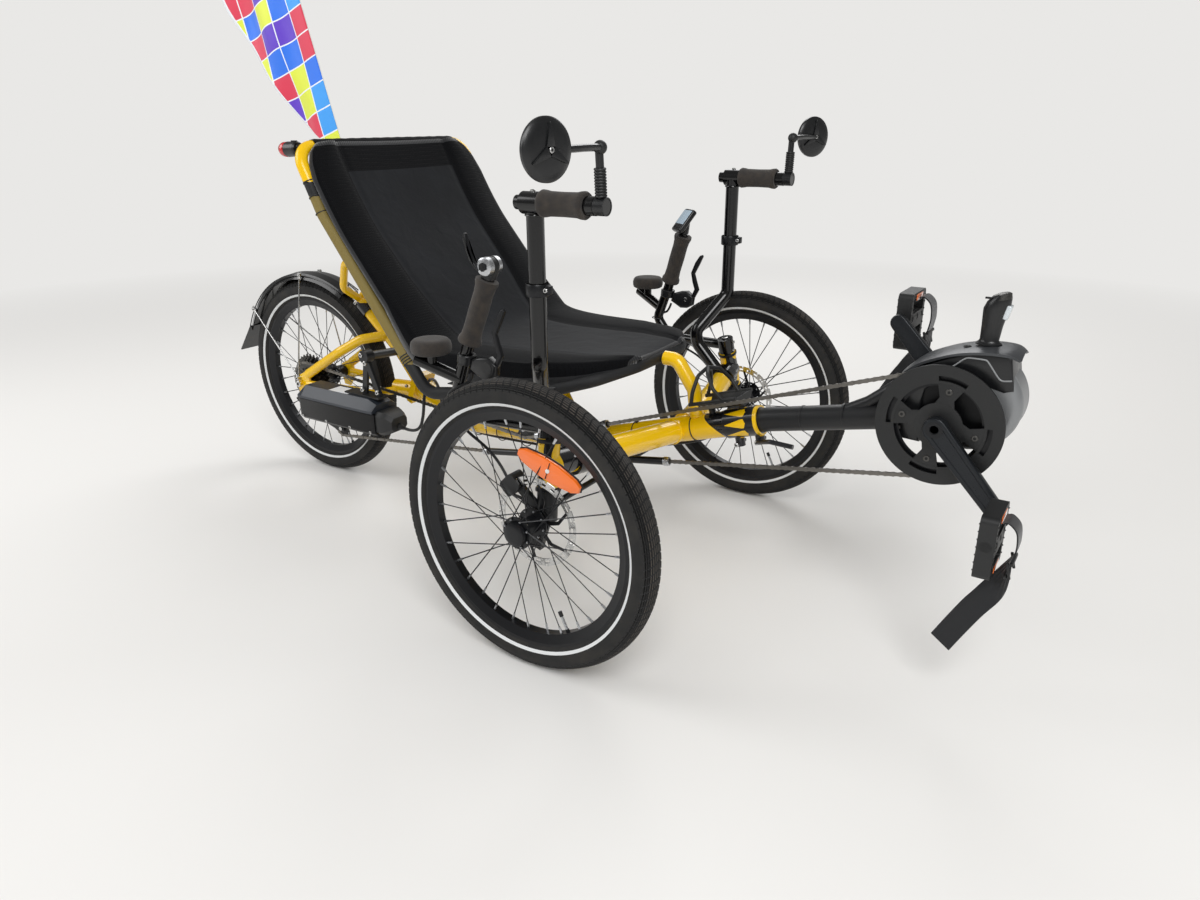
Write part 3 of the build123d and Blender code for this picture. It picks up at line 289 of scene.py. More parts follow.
def addRing(bm, centre, axis, radius, wire, index=0, steps=40, rounds=8):
    # a closed ring of round wire
    before = set(bm.faces)
    axis = Vector(axis).normalized()
    across = axis.orthogonal().normalized()
    matrix = turnTo(Vector(centre) + across * radius, axis.cross(across))
    loop = bmesh.ops.create_circle(bm, segments=rounds, radius=wire, matrix=matrix)["verts"]
    edges = list({e for v in loop for e in v.link_edges})
    bmesh.ops.spin(bm, geom=loop + edges, cent=centre, axis=axis, dvec=(0, 0, 0), angle=2 * math.pi,
                   steps=steps, use_merge=True)
    markNew(bm, before, index)


def addBolt(bm, spot, direction, radius, height, index=0, socketIndex=1):
    # a socket head screw: round head with a small chamfer and a black hexagon on it, painted shade standing for the
    # socket's recess
    direction = Vector(direction).normalized()
    spot = Vector(spot)
    addRod(bm, spot, spot + direction * height * 0.8, radius, index)
    addRod(bm, spot + direction * height * 0.8, spot + direction * height, radius, index, radius * 0.82)
    addRod(bm, spot + direction * height * 0.9, spot + direction * (height + 0.0002), radius * 0.5, socketIndex,
           segments=6)


def addRows(bm, rows, pickIndex):  # a sheet of four-sided faces between rows of places
    rows = [[bm.verts.new(spot) for spot in row] for row in rows]
    for number, (one, two) in enumerate(zip(rows, rows[1:])):
        for k in range(len(one) - 1):
            bm.faces.new((one[k], one[k + 1], two[k + 1], two[k])).material_index = pickIndex(number, k)


def addSoftLoft(bm, rings, width, angle, index):
    # skins a row of equal outlines, closes its two ends and rounds the edges sharper than the angle
    own = bmesh.new()
    loops = [[own.verts.new(spot) for spot in ring] for ring in rings]
    for one, two in zip(loops, loops[1:]):
        for k in range(len(one)):
            own.faces.new((one[k], one[(k + 1) % len(one)], two[(k + 1) % len(one)], two[k]))
    own.faces.new(loops[0])
    own.faces.new(reversed(loops[-1]))
    bevelEdges(own, [e for e in own.edges if e.calc_face_angle(0.0) > math.radians(angle)], width)
    markNew(own, (), index)
    mesh = bpy.data.meshes.new("loft")
    own.to_mesh(mesh)
    own.free()
    addLoose(bm, mesh)


def makeCurve(name, points, smooth, radius=0.0, roundness=0):
    # one smooth curve near the given points, thick where it has a radius
    curve = bpy.data.curves.new(name, "CURVE")
    curve.dimensions = "3D"
    curve.resolution_u = smooth
    curve.bevel_depth = radius
    curve.bevel_resolution = roundness
    curve.use_fill_caps = True
    spline = curve.splines.new("NURBS")
    spline.points.add(len(points) - 1)
    for made, point in zip(spline.points, points):
        made.co = (*point, 1.0)
    spline.order_u = 3
    spline.use_endpoint_u = True
    carrier = bpy.data.objects.new(name, curve)
    bpy.context.scene.collection.objects.link(carrier)
    return carrier


def curveMesh(*details):  # the mesh of such a curve, which isn't kept itself
    carrier = makeCurve("route", *details)
    bpy.context.view_layer.update()
    made = bpy.data.meshes.new_from_object(carrier.evaluated_get(bpy.context.evaluated_depsgraph_get()))
    curve = carrier.data
    bpy.data.objects.remove(carrier)
    bpy.data.curves.remove(curve)
    return made


def addTube(bm, points, radius, index=0, roundness=2, smooth=8):
    before = set(bm.faces)
    addLoose(bm, curveMesh(points, smooth, radius, roundness))
    markNew(bm, before, index)


def smoothPath(points, count):
    # even places along one smooth spline through the route
    mesh = curveMesh(points, 24)
    line = [v.co.copy() for v in mesh.vertices]
    bpy.data.meshes.remove(mesh)
    reach = [0.0]
    for a, b in zip(line, line[1:]):
        reach.append(reach[-1] + (b - a).length)
    places, k = [], 0
    for number in range(count):
        want = reach[-1] * number / (count - 1)
        while k < len(reach) - 2 and reach[k + 1] < want:
            k += 1
        share = (want - reach[k]) / max(reach[k + 1] - reach[k], 1e-9)
        places.append(line[k].lerp(line[k + 1], share))
    return places


def alongRoute(route, along):  # the place on a smooth path through the route's points, counted in points
    index = min(int(along), len(route) - 2)
    t = along - index
    p0, p1 = route[max(index - 1, 0)], route[index]
    p2, p3 = route[index + 1], route[min(index + 2, len(route) - 1)]
    return 0.5 * (2 * p1 + (p2 - p0) * t + (2 * p0 - 5 * p1 + 4 * p2 - p3) * t**2
                  + (3 * p1 - p0 - 3 * p2 + p3) * t**3)


def between(rows, x):  # value at x in a short table
    for (x0, v0), (x1, v1) in zip(rows, rows[1:]):
        if x <= x1:
            return v0 + (v1 - v0) * max(0.0, (x - x0) / (x1 - x0))
    return rows[-1][1]


def at(x, y, z):  # millimetres ahead of the front axles, to the left and up
    return Vector((frontX + x * mm, y * mm, z * mm))


def behind(x, y, z):  # the same from the rear axle
    return Vector((rearX + x * mm, y * mm, z * mm))


# Camera, floor and light
bpy.context.scene.view_settings.view_transform = "Standard"
view = {
    "spot": (1.11156, -1.43466, 0.87751),
    "forward": (-0.51385, 0.78033, -0.35642),
    "roll": math.radians(-0.317),
    "lens": 25.87,
    "floorColour": "#e9e8e6",
    "floorRadius": 14.0,
    "skyLight": 0.62,
    "skyMirrored": 0.3,
}
cameraData = bpy.data.cameras.new("camera")
cameraData.lens = view["lens"]
cameraData.sensor_width = 36.0
cameraData.clip_start = 0.02
camera = bpy.data.objects.new("camera", cameraData)
bpy.context.scene.collection.objects.link(camera)
ahead = Vector(view["forward"]).normalized()
side = ahead.cross(Vector((0, 0, 1))).normalized()
above = side.cross(ahead)
c, s = math.cos(view["roll"]), math.sin(view["roll"])
side, above = side * c + above * s, above * c - side * s
camera.matrix_world = Matrix.Translation(view["spot"]) @ Matrix((side, above, -ahead)).transposed().to_4x4()
bpy.context.scene.camera = camera

# the floor's shading fades out into the plain background, so that no edge shows
floorMaterial, tree, shader = startMaterial("floorPaper", view["floorColour"], 0.9, Specular_IOR_Level=0.1)
fade = remap(tree, reckonPlaces(tree, "LENGTH", place(tree)), 2.0, 4.5)
glow = node(tree, "ShaderNodeEmission", {"Color": linear(view["floorColour"]), "Strength": 1.0})
blend = node(tree, "ShaderNodeMixShader", {0: fade, 1: shader.outputs["BSDF"], 2: glow.outputs["Emission"]})
tree.links.new(blend.outputs["Shader"], tree.nodes["Material Output"].inputs["Surface"])
bm = bmesh.new()
bmesh.ops.create_circle(bm, cap_ends=True, segments=64, radius=view["floorRadius"])
floorMesh = bpy.data.meshes.new("floor")
bm.to_mesh(floorMesh)
bm.free()
floorMesh.materials.append(floorMaterial)
floor = bpy.data.objects.new("floor", floorMesh)
bpy.context.scene.collection.objects.link(floor)

# the world is seen at full strength, and lights the scene or shines in gloss more weakly
world = bpy.data.worlds.new("studio")
bpy.context.scene.world = world
world.use_nodes = True
tree = world.node_tree
path = node(tree, "ShaderNodeLightPath").outputs
seen = reckon(tree, "MAXIMUM", path["Is Camera Ray"], path["Is Transmission Ray"])
lit = remap(tree, path["Is Glossy Ray"], 0.0, 1.0, view["skyLight"], view["skyMirrored"])
tree.nodes["Background"].inputs["Color"].default_value = linear(view["floorColour"])
tree.links.new(remap(tree, seen, 0.0, 1.0, lit, 1.0), tree.nodes["Background"].inputs["Strength"])

lampRows = (
    # name, spot, size, power
    ("keyLamp", (2.2, -2.6, 3.2), 2.2, 95),
    ("fillLamp", (-2.8, -1.8, 2.4), 2.4, 45),
    ("backLamp", (-0.6, 3.0, 2.8), 2.6, 50),
)
for name, spot, size, power in lampRows:
    lampData = bpy.data.lights.new(name, "AREA")
    lampData.shape = "DISK"
    lampData.size = size
    lampData.energy = power
    lamp = bpy.data.objects.new(name, lampData)
    lamp.matrix_world = turnTo(spot, Vector(spot) - Vector((0, 0, 0.4)))
    bpy.context.scene.collection.objects.link(lamp)
print("stage ready")

# Materials, each named for the real one: colour, roughness, metal, then the grain's size and height in millimetres
# Natural rubber tyre: matt black with a fine moulded grain, road dust on it
tyreRubber, tree, shader = startMaterial("tyreRubber", "#1b1a19", 0.78, IOR=1.52)
addGrain(tree, shader, 1.6 * mm, 0.15 * mm)
addDustAndSunPatches(tree, shader, "#151515", "#3a352f", 30 * mm, 0.4, 0.8, 0.4)
treadRubber, tree, shader = startMaterial("treadRubber", "#262422", 0.85, IOR=1.52)
addGrain(tree, shader, 2.2 * mm, 0.2 * mm)
addDustAndSunPatches(tree, shader, "#35322f", "#6a6056", 55 * mm, 0.3, 0.75, 0.65)
# Reflective stripe tape: pale grey glass-bead film
stripeTape = grained("stripeTape", "#d9dbdc", 0.42, 0.0, 0.8, 0.05)
# Black anodised aluminium: deep satin black, soft highlights
blackAnodised = grained("blackAnodised", "#16171a", 0.34, 0.35, 3, 0.03, 0.05)
# Gloss powder paint over steel: strong colour, hard highlight, faint orange peel
paintYellow, paintBlack = "#f2c200", "#15161a"
paintCoat = {"IOR": 1.5, "Coat_Weight": 0.6, "Coat_Roughness": 0.08}
yellowPaint = grained("yellowPaint", paintYellow, 0.26, 0.0, 6, 0.05, 0.03, **paintCoat)
# Black powder coat: satin, fine even grain
blackCoat = grained("blackPowderCoat", "#17181a", 0.42, 0.0, 1.8, 0.06, 0.05)
# Gloss black lacquer on the bars and the mudguard
glossBlack = grained("glossBlackPaint", "#060607", 0.2, 0.0, 9, 0.03, Coat_Weight=0.4, Coat_Roughness=0.04,
                     Specular_IOR_Level=0.35)
# Polished and turned alloy, plated steel, oiled chain and dark sprockets
alloyBare = grained("turnedAlloy", "#c3c5c8", 0.3, 1.0, 2.5, 0.02, 0.07)
steelBright = grained("brightSteel", "#c9c9c8", 0.24, 1.0, 2, 0.02, 0.06)
steelChain = grained("oiledChainSteel", "#7d7a75", 0.38, 1.0, 4, 0.03, 0.1)
steelDark = grained("darkSprocketSteel", "#5b5a58", 0.36, 1.0, 3, 0.03, 0.08)
# Painted shade: flat black for the shade in hexagon sockets, tread grooves and gaps
paintedShadeBlack = grained("paintedShadeBlack", "#08090a", 0.6, 0.0, 1, 0.02)
# Closed-cell foam: soft, matt, fine pores; its warm brown tint and paler brown patches are painted sunlight on black
# foam
gripFoam, tree, shader = startMaterial("gripFoam", "#2c2826", 0.92, Sheen_Weight=0.1, Sheen_Roughness=0.6)
addDustAndSunPatches(tree, shader, "#272321", "#40382f", 14 * mm, 0.35, 0.75, 0.7)
addBump(tree, shader, cellPattern(tree, 1.5 * mm), 0.7, 0.35 * mm)
# Moulded glass-filled nylon: black, satin, faint texture; smooth black ABS covers
blackNylon = grained("blackNylon", "#18191a", 0.5, 0.0, 1.2, 0.06, 0.05, IOR=1.53)
blackAbs = grained("blackAbs", "#121315", 0.32, 0.0, 5, 0.03, 0.04, IOR=1.53)
# Motor: satin grey lacquer on cast alloy, the silver drum, its cover's raised line, and the cranks
motorGrey = grained("motorSatinGrey", "#4b4d50", 0.38, 0.45, 1.4, 0.05, 0.05)
drumSilver = grained("drumSilverPaint", "#8f9193", 0.4, 0.55, 1.2, 0.05, 0.05)
panelLine = grained("panelLineGrey", "#8a8c8e", 0.45, 0.0, 1.2, 0.02)
armGrey = grained("crankArmBlack", "#1d2024", 0.33, 0.4, 2.4, 0.04, 0.06)
# Battery case: black moulded plastic with a paler shoulder and a blank label
batterySlate = grained("batteryCase", "#060608", 0.42, 0.0, 1.1, 0.05, 0.05, Specular_IOR_Level=0.35)
batteryShoulder = grained("batteryShoulder", "#2a2f37", 0.4, 0.0, 1.1, 0.05, 0.05, IOR=1.53)
labelBlank = grained("labelBlank", "#e6e8ea", 0.5, 0.0, 4, 0.02)
# Prismatic reflectors: clear colour over small pyramids
lensCoat = {"Coat_Weight": 1.0, "Coat_Roughness": 0.03}
orangePrism, tree, shader = startMaterial("orangePrism", "#ea6c0c", 0.12, **lensCoat)
addBump(tree, shader, cellPattern(tree, 3.2 * mm, 0.0, distance="CHEBYCHEV"), 0.9, 0.8 * mm)
redPrism, tree, shader = startMaterial("redLens", "#c01318", 0.1, **lensCoat)
addBump(tree, shader, cellPattern(tree, 3.0 * mm, 0.0), 0.8, 0.7 * mm)
# Lamp lens, mirror and display glass; the display glass's pale blue is a painted sky reflection
clearLens = grained("lampLens", "#cfd6da", 0.08, 0.0, 3, 0.2, Coat_Weight=1.0)
mirrorGlass = grained("mirrorGlass", "#e6eaec", 0.03, 1.0, 60, 0.01)
screenGlassSkyReflection = grained("screenGlassSkyReflection", "#a9bccb", 0.15, 0.0, 30, 0.01, Coat_Weight=1.0, Coat_Roughness=0.02)
# White nylon screw
whiteNylon = grained("whiteNylon", "#d8d8d4", 0.45, 0.0, 2, 0.03)
# Cable housing: smooth black PVC
cablePvc = grained("cablePvc", "#101113", 0.4, 0.0, 2, 0.02, 0.04)
# Woven nylon webbing: thick ribs along the strap
webbing, tree, shader = startMaterial("nylonWebbing", "#1c1d20", 0.8, Sheen_Weight=0.35, Sheen_Roughness=0.4)
ribs = node(tree, "ShaderNodeTexWave", {"Scale": 1 / (2.6 * mm) / 6.283, "Distortion": 0.4, "bands_direction": "Y",
                                        "Vector": place(tree)})
addBump(tree, shader, ribs.outputs["Fac"], 0.8, 0.5 * mm)
print("materials ready")

# Wheels: tyres, brake discs and trim
tyreShape = {
    "outer": 0.253,
    "section": 0.025,
    "blockHeight": 0.0015,
    "groove": 0.0028,
    "treadHalf": 60.0,
    "treadFrom": 0.2445,
    "chevron": 0.55,
    "steps": 112,
    "stripeLow": 0.2135,
    "stripeHigh": 0.2185,
}


def makeTyre(ending, cadNode, centre, body):
    shape = tyreShape
    middle = shape["outer"] - shape["section"]
    half = (4.6, 13.8, 23, 32.2, 41.4, 49, 58, 68, 80, 92, 102, 112.3, 125.5, 134, 143)
    rows = []
    for angle in [-a for a in reversed(half)] + list(half):
        radius = shape["section"] - (shape["blockHeight"] if abs(angle) < shape["treadHalf"] else 0.0)
        t = math.radians(angle)
        rows.append((radius * math.sin(t), middle + radius * math.cos(t)))
    rows = [(rows[0][0] * 0.8, rows[0][1] - 0.002)] + rows + [(rows[-1][0] * 0.8, rows[-1][1] - 0.002)]
    bm = bmesh.new()
    addLathe(bm, rows, centre, (0, 1, 0), shape["steps"],
             lambda a, r: 2 if shape["stripeLow"] < r < shape["stripeHigh"] else (1 if r > shape["treadFrom"] else 0))
    centre = Vector(centre)
    for vert in bm.verts:  # the tread's rows lean back from the middle line
        lean = shape["chevron"] * abs(vert.co.y - centre.y) / shape["outer"]
        vert.co = centre + Matrix.Rotation(lean, 3, "Y") @ (vert.co - centre)
    limit = shape["section"] * math.sin(math.radians(shape["treadHalf"]))
    tread = [f for f in bm.faces
             if abs(f.calc_center_median().y - centre.y) < limit and (f.calc_center_median() - centre).length > 0.235]
    bmesh.ops.recalc_face_normals(bm, faces=bm.faces)
    grooves = bmesh.ops.inset_individual(bm, faces=tread, thickness=shape["groove"] / 2, depth=shape["blockHeight"],
                                         use_even_offset=True)["faces"]
    # the grooves' walls are painted black as the shade in them
    for face in grooves:
        face.material_index = 3
    finishPiece(f"tyre{ending}", bm, [tyreRubber, treadRubber, stripeTape, paintedShadeBlack], body, [cadNode], 40)


wheelTrim = {
    "spokes": 32,
    "cross": math.radians(45),
    "rim": 0.189,
    "rimHalf": 0.0025,
    "flange": 0.024,
    "flangeHalf": 0.0035,
    "nippleLong": 0.013,
    "valve": math.radians(-64),
    # distance along the axle from the wheel's middle, radius
    "rearCap": ((0.0636, 0.0), (0.0636, 0.011), (0.0616, 0.0128), (0.0576, 0.0132)),
    "frontCap": ((0.0336, 0.0), (0.0336, 0.010), (0.0330, 0.0165), (0.0314, 0.0195), (0.0285, 0.0208),
                 (0.0238, 0.0208), (0.0232, 0.0152)),
    # the reflector's outline in millimetres
    "reflector": ((-62, -5), (-50, -12), (-16, -17.5), (16, -17.5), (50, -12), (62, -5), (62, 5), (50, 12),
                  (16, 17.5), (-16, 17.5), (-50, 12), (-62, 5)),
}


def makeWheelTrim(ending, centre, body, flanges, hubEnd, reflector):
    # spoke nipples, valve, hub caps and the wheel's reflector
    bm = bmesh.new()
    centre = Vector(centre)
    rim, half = wheelTrim["rim"], wheelTrim["rimHalf"]
    for number in range(wheelTrim["spokes"]):
        flangeY = flanges[number % 2]
        pull = 1 if number % 4 < 2 else -1
        angle = math.radians(360 * number / wheelTrim["spokes"])
        inner = centre + radial(angle - pull * wheelTrim["cross"], wheelTrim["flange"])
        inner += leftBy(flangeY + pull * wheelTrim["flangeHalf"])
        outer = centre + radial(angle, rim) + leftBy((half if flangeY > 0 else -half) + pull * 0.0013)
        run = (outer - inner).normalized() * wheelTrim["nippleLong"]
        addRod(bm, outer - run, outer, 0.0019, 0, 0.0024, segments=8)
        addBall(bm, inner, 0.0021, 0, 8)
    way = radial(wheelTrim["valve"])
    for near, far, radius, index, segments in ((rim, 0.183, 0.0035, 1, 12), (0.183, 0.160, 0.0026, 0, 12),
                                               (0.160, 0.151, 0.0035, 2, 10)):
        addRod(bm, centre + way * near, centre + way * far, radius, index, segments=segments)
    for side in (-1, 1):
        if hubEnd in (0, side):
            cap = wheelTrim["frontCap" if hubEnd else "rearCap"]
            addLathe(bm, [(along * side, radius) for along, radius in cap], centre, (0, 1, 0), 40, 1)
    if reflector:
        run = Vector((0.129, 0, -0.045)).normalized()
        spot = centre + Vector((0.058, -0.008, 0.118))
        turn = Matrix.Rotation(math.radians(19.2), 4, "Y")
        rise = Vector((-run.z, 0, run.x))
        boat = wheelTrim["reflector"]
        addPlate(bm, [spot + run * u * mm + rise * v * mm for u, v in boat], (0, 1, 0), 0.007, 3, 0.0018)
        addPlate(bm, [spot + leftBy(0.0042) + run * u * 1.02 * mm + rise * v * 1.08 * mm for u, v in boat],
                 (0, 1, 0), 0.003, 2, 0.001)
        addCrossRod(bm, spot, 0, -0.0052, 0.0042, 4, 0.0034)
        addBox(bm, spot + leftBy(-0.0040), (0.0008, 0.0020, 0.030), 2, turn)
    finishPiece(f"wheelTrim{ending}", bm, [alloyBare, blackAnodised, blackNylon, orangePrism, whiteNylon], body)


discShape = {
    "outer": 0.080,
    "inner": 0.067,
    "slotsFrom": 0.0703,
    "slotsTo": 0.0747,
    "teethFrom": 0.0768,
    "thick": 0.0019,
    "arms": 6,
}


def makeDisc(ending, side):
    shape = discShape
    centre = Vector((frontX, side * (wheelY - 0.031), axleZ))
    rings = [shape[name] for name in ("inner", "slotsFrom", "slotsTo", "teethFrom", "outer")]
    bm = bmesh.new()
    addLathe(bm, [(0, radius) for radius in rings], centre, (0, 1, 0), 144)
    gone = []
    for face in bm.faces:
        spot = face.calc_center_median() - centre
        turn = (math.degrees(math.atan2(spot.z, spot.x)) + (spot.length - shape["inner"]) * 500) % 15
        inSlot = shape["slotsFrom"] < spot.length < shape["slotsTo"] and turn < 7.5
        inGap = spot.length > shape["teethFrom"] and 6 < (turn * 3) % 45 < 16
        if inSlot or inGap:
            gone.append(face)
    bmesh.ops.delete(bm, geom=gone, context="FACES")
    thicken(bm, bm.faces[:], leftBy(shape["thick"]))
    bmesh.ops.translate(bm, verts=bm.verts, vec=leftBy(-shape["thick"] / 2))
    for number in range(shape["arms"]):
        turn = math.radians(60 * number)
        for near, far, lean, half in ((0.020, 0.046, 0.10, 0.0038), (0.045, 0.0685, 0.26, 0.0028)):
            start, end = centre + radial(turn + lean * 0.6, near), centre + radial(turn + lean * 1.7, far)
            wide = (end - start).cross(Vector((0, 1, 0))).normalized() * half
            outline = [start - wide, start + wide, end + wide * 0.8, end - wide * 0.8]
            addPlate(bm, outline, (0, 1, 0), shape["thick"], 1)
        spot = centre + radial(turn, 0.0195) + leftBy(-side * 0.001)
        addCrossRod(bm, spot, 0, -side * 0.0016, 0.0042, 2, segments=12)
    addLathe(bm, [(-0.001, 0.0105), (-0.001, 0.025), (0.001, 0.025), (0.001, 0.0105)], centre, (0, 1, 0), 48, 1)
    finishPiece(f"brakeDisc{ending}", bm, [steelBright, blackAnodised, steelBright], f"wheel_{ending.lower()}",
                [f"front_disc_{ending.lower()}"])


wheelRows = (("Right", -1), ("Left", 1))
for ending, side in wheelRows:
    centre = (frontX, side * wheelY, axleZ)
    low = ending.lower()
    makeTyre(ending, f"front_tyre_{low}", centre, f"wheel_{low}")
    makeWheelTrim(ending, centre, f"wheel_{low}", (-0.021, 0.021), side, side < 0)
    makeDisc(ending, side)
    wear(blackAnodised, f"front_rim_{low}", f"front_hub_{low}")
    wear(blackCoat, f"knuckle_{low}")
makeTyre("Rear", "rear_tyre", (rearX, 0, axleZ), "wheel_rear")
makeWheelTrim("Rear", (rearX, 0, axleZ), "wheel_rear", (-0.018, 0.028), 0, False)
wear(blackAnodised, "rear_rim", "rear_hub")
print("wheels ready")

# Chain drive
drive = {
    "pitch": 0.0127,
    "plateHeight": 0.0078,
    "plateThick": 0.0008,
    "idler": (frontX - 0.298, 0.260),
    "guideWheel": (rearX + 0.024, axleZ - 0.081),
    "tensionWheel": (rearX + 0.114, axleZ - 0.107),
}
drive["pulleys"] = (
    # x, z, radius; negative where the chain turns clockwise; the last is the sag of the lower run
    (crankX, crankZ, 0.089),
    (*drive["idler"], -0.024),
    (rearX, axleZ, 0.04865),
    (*drive["guideWheel"], -0.020),
    (*drive["tensionWheel"], 0.020),
    (frontX - 0.496, 0.775, 0.600),
)


def chainRuns():
    # straight runs and arcs in the order of travel, each with its length
    pulleys = drive["pulleys"]
    count = len(pulleys)
    normals = []
    for i in range(count):
        x0, z0, r0 = pulleys[i]
        x1, z1, r1 = pulleys[(i + 1) % count]
        dx, dz = x1 - x0, z1 - z0
        normals.append(math.atan2(dz, dx) + math.acos((r1 - r0) / math.hypot(dx, dz)))
    runs = []
    for i in range(count):
        x, z, r = pulleys[i]
        arrive, leave = normals[i - 1], normals[i]
        turn = (leave - arrive) % (2 * math.pi) - (2 * math.pi if r < 0 else 0)
        runs.append(("arc", abs(r * turn), (x, z), r, arrive, turn))
        xn, zn, rn = pulleys[(i + 1) % count]
        start = Vector((x - r * math.cos(leave), z - r * math.sin(leave)))
        end = Vector((xn - rn * math.cos(leave), zn - rn * math.sin(leave)))
        runs.append(("line", (end - start).length, start, end))
    return runs


def chainSpot(runs, distance):
    for kind, long, *shape in runs:
        if distance <= long:
            share = distance / long
            if kind == "line":
                return shape[0].lerp(shape[1], share)
            (x, z), radius, arrive, turn = shape
            angle = arrive + turn * share
            return Vector((x - radius * math.cos(angle), z - radius * math.sin(angle)))
        distance -= long
    return chainSpot(runs, 0.0)


def linkMesh(outerLink):
    bm = bmesh.new()
    pitch, high = drive["pitch"], drive["plateHeight"] / 2
    reach = pitch / 2
    outline = []
    for base, turns in ((reach, (-70, -35, 0, 35, 70)), (-reach, (110, 145, 180, 215, 250))):
        for angle in turns:
            a = math.radians(angle)
            outline.append((base + high * math.cos(a), high * math.sin(a)))
    waist = high * 0.72
    outline.insert(5, (0, waist))
    outline.append((0, -waist))
    # outer plates carry the pins, inner plates the rollers
    plateY, rodHalf, rodRadius = (0.0021, 0.0026, 0.0018) if outerLink else (0.0013, 0.0011, 0.0037)
    for y in (-plateY, plateY):
        addPlate(bm, [(x, y, z) for x, z in outline], (0, 1, 0), drive["plateThick"])
    for x in (-reach, reach):
        addCrossRod(bm, (x, 0, 0), -rodHalf, rodHalf, rodRadius, segments=8)
    made = bpy.data.meshes.new("link")
    bm.to_mesh(made)
    bm.free()
    return made


runs = chainRuns()
total = sum(run[1] for run in runs)
links = 2 * round(total / drive["pitch"] / 2)
bm = bmesh.new()
shapes = [linkMesh(False), linkMesh(True)]
spots = [chainSpot(runs, total * i / links) for i in range(links)]
for number in range(links):
    here, there = spots[number], spots[(number + 1) % links]
    run = there - here
    start = len(bm.verts)
    bm.from_mesh(shapes[number % 2])
    bm.verts.ensure_lookup_table()
    middle = (here + there) / 2
    matrix = (Matrix.Translation((middle.x, chainY, middle.y))
              @ Matrix.Rotation(-math.atan2(run.y, run.x), 4, "Y"))
    bmesh.ops.transform(bm, verts=bm.verts[start:], matrix=matrix)
finishPiece("chainLinks", bm, [steelChain], "chassis", ["chain"])


def toothPhase(x, z, teeth):
    # turn that sets the valleys between the teeth under the chain's pins
    pitchRadius = drive["pitch"] / 2 / math.sin(math.pi / teeth)
    sine = cosine = 0.0
    for spot in spots:
        if abs(math.hypot(spot.x - x, spot.y - z) - pitchRadius) < 0.0006:
            angle = math.atan2(spot.y - z, spot.x - x) * teeth
            sine, cosine = sine + math.sin(angle), cosine + math.cos(angle)
    return math.atan2(sine, cosine) / teeth - math.radians(90 + 225 / teeth)


def addSprocket(bm, centre, teeth, thick, inner, phase=0.0, tip=0.0030, root=0.0036):
    # a toothed ring: four corners to a tooth, its inner edge a plain circle
    before = set(bm.faces)
    pitchRadius = drive["pitch"] / 2 / math.sin(math.pi / teeth)
    turn = Matrix.Translation(centre) @ Matrix.Rotation(math.radians(90), 4, "X") @ Matrix.Rotation(phase, 4, "Z")
    outer = bmesh.ops.create_circle(bm, segments=4 * teeth, radius=pitchRadius, matrix=turn)["verts"]
    for number, vert in enumerate(outer):
        grow = tip if number % 4 in (0, 1) else -root
        vert.co = Vector(centre) + (vert.co - Vector(centre)) * (1 + grow / pitchRadius)
    hole = bmesh.ops.create_circle(bm, segments=4 * teeth, radius=inner, matrix=turn)["verts"]
    edges = list({e for v in outer + hole for e in v.link_edges})
    bmesh.ops.bridge_loops(bm, edges=edges)
    thicken(bm, [f for f in bm.faces if f not in before], leftBy(thick))
    new = [f for f in bm.faces if f not in before]
    bmesh.ops.translate(bm, verts=list({v for f in new for v in f.verts}), vec=leftBy(-thick / 2))


cassetteRows = (
    # place along Y from the chain line, teeth
    (-0.0084, 12), (-0.0042, 16), (0.0, 24), (0.0042, 26), (0.0084, 28), (0.0126, 30), (0.0168, 32),
)
bm = bmesh.new()
for shift, teeth in cassetteRows:
    phase = toothPhase(rearX, axleZ, teeth) if shift == 0.0 else 0.0
    addSprocket(bm, (rearX, chainY + shift, axleZ), teeth, 0.0018, 0.016, phase)
addLathe(bm, [(-0.0115, 0.006), (-0.0115, 0.0165), (-0.009, 0.0185), (-0.034 - chainY, 0.0185)],
         (rearX, chainY, axleZ), (0, 1, 0), 32, 1)
finishPiece("cassetteTeeth", bm, [steelDark, blackAnodised], "wheel_rear", ["cassette"], 25)

bm = bmesh.new()
for x, z in (drive["guideWheel"], drive["tensionWheel"]):
    addSprocket(bm, (x, chainY, z), 10, 0.0022, 0.0045, toothPhase(x, z, 10), 0.0022, 0.0040)
    addCrossRod(bm, (x, chainY, z), -0.0075, -0.0095, 0.0052, 1, segments=16)
finishPiece("jockeyTeeth", bm, [blackNylon, steelBright], "chassis", sharp=25)
wear(blackCoat, "rear_derailleur")
bm = bmesh.new()
x, z = drive["idler"]
addSprocket(bm, (x, chainY, z), 12, 0.0022, 0.006, toothPhase(x, z, 12), 0.0022, 0.0042)
addCrossRod(bm, (x, chainY, z), -0.004, -0.009, 0.008, 1)
# mouths of the chain's tubes: which run of the chain, and where along it
for runIndex, x in ((11, frontX - 0.410), (1, frontX - 0.262), (1, frontX - 0.091), (11, frontX + 0.053)):
    start, end = runs[runIndex][2:]
    spot, way = start.lerp(end, (x - start.x) / (end.x - start.x)), end - start
    addLathe(bm, [(-0.006, 0.0060), (-0.006, 0.0088), (-0.003, 0.0092), (0.005, 0.0086), (0.006, 0.0060)],
             (spot.x, chainY, spot.y), (way.x, 0, way.y), 24, 1)
finishPiece("idlerAndTubeEnds", bm, [blackNylon, alloyBare], "chassis", sharp=25)
wear(blackAbs, "chain_tubes")
print("chain ready:", links, "links")

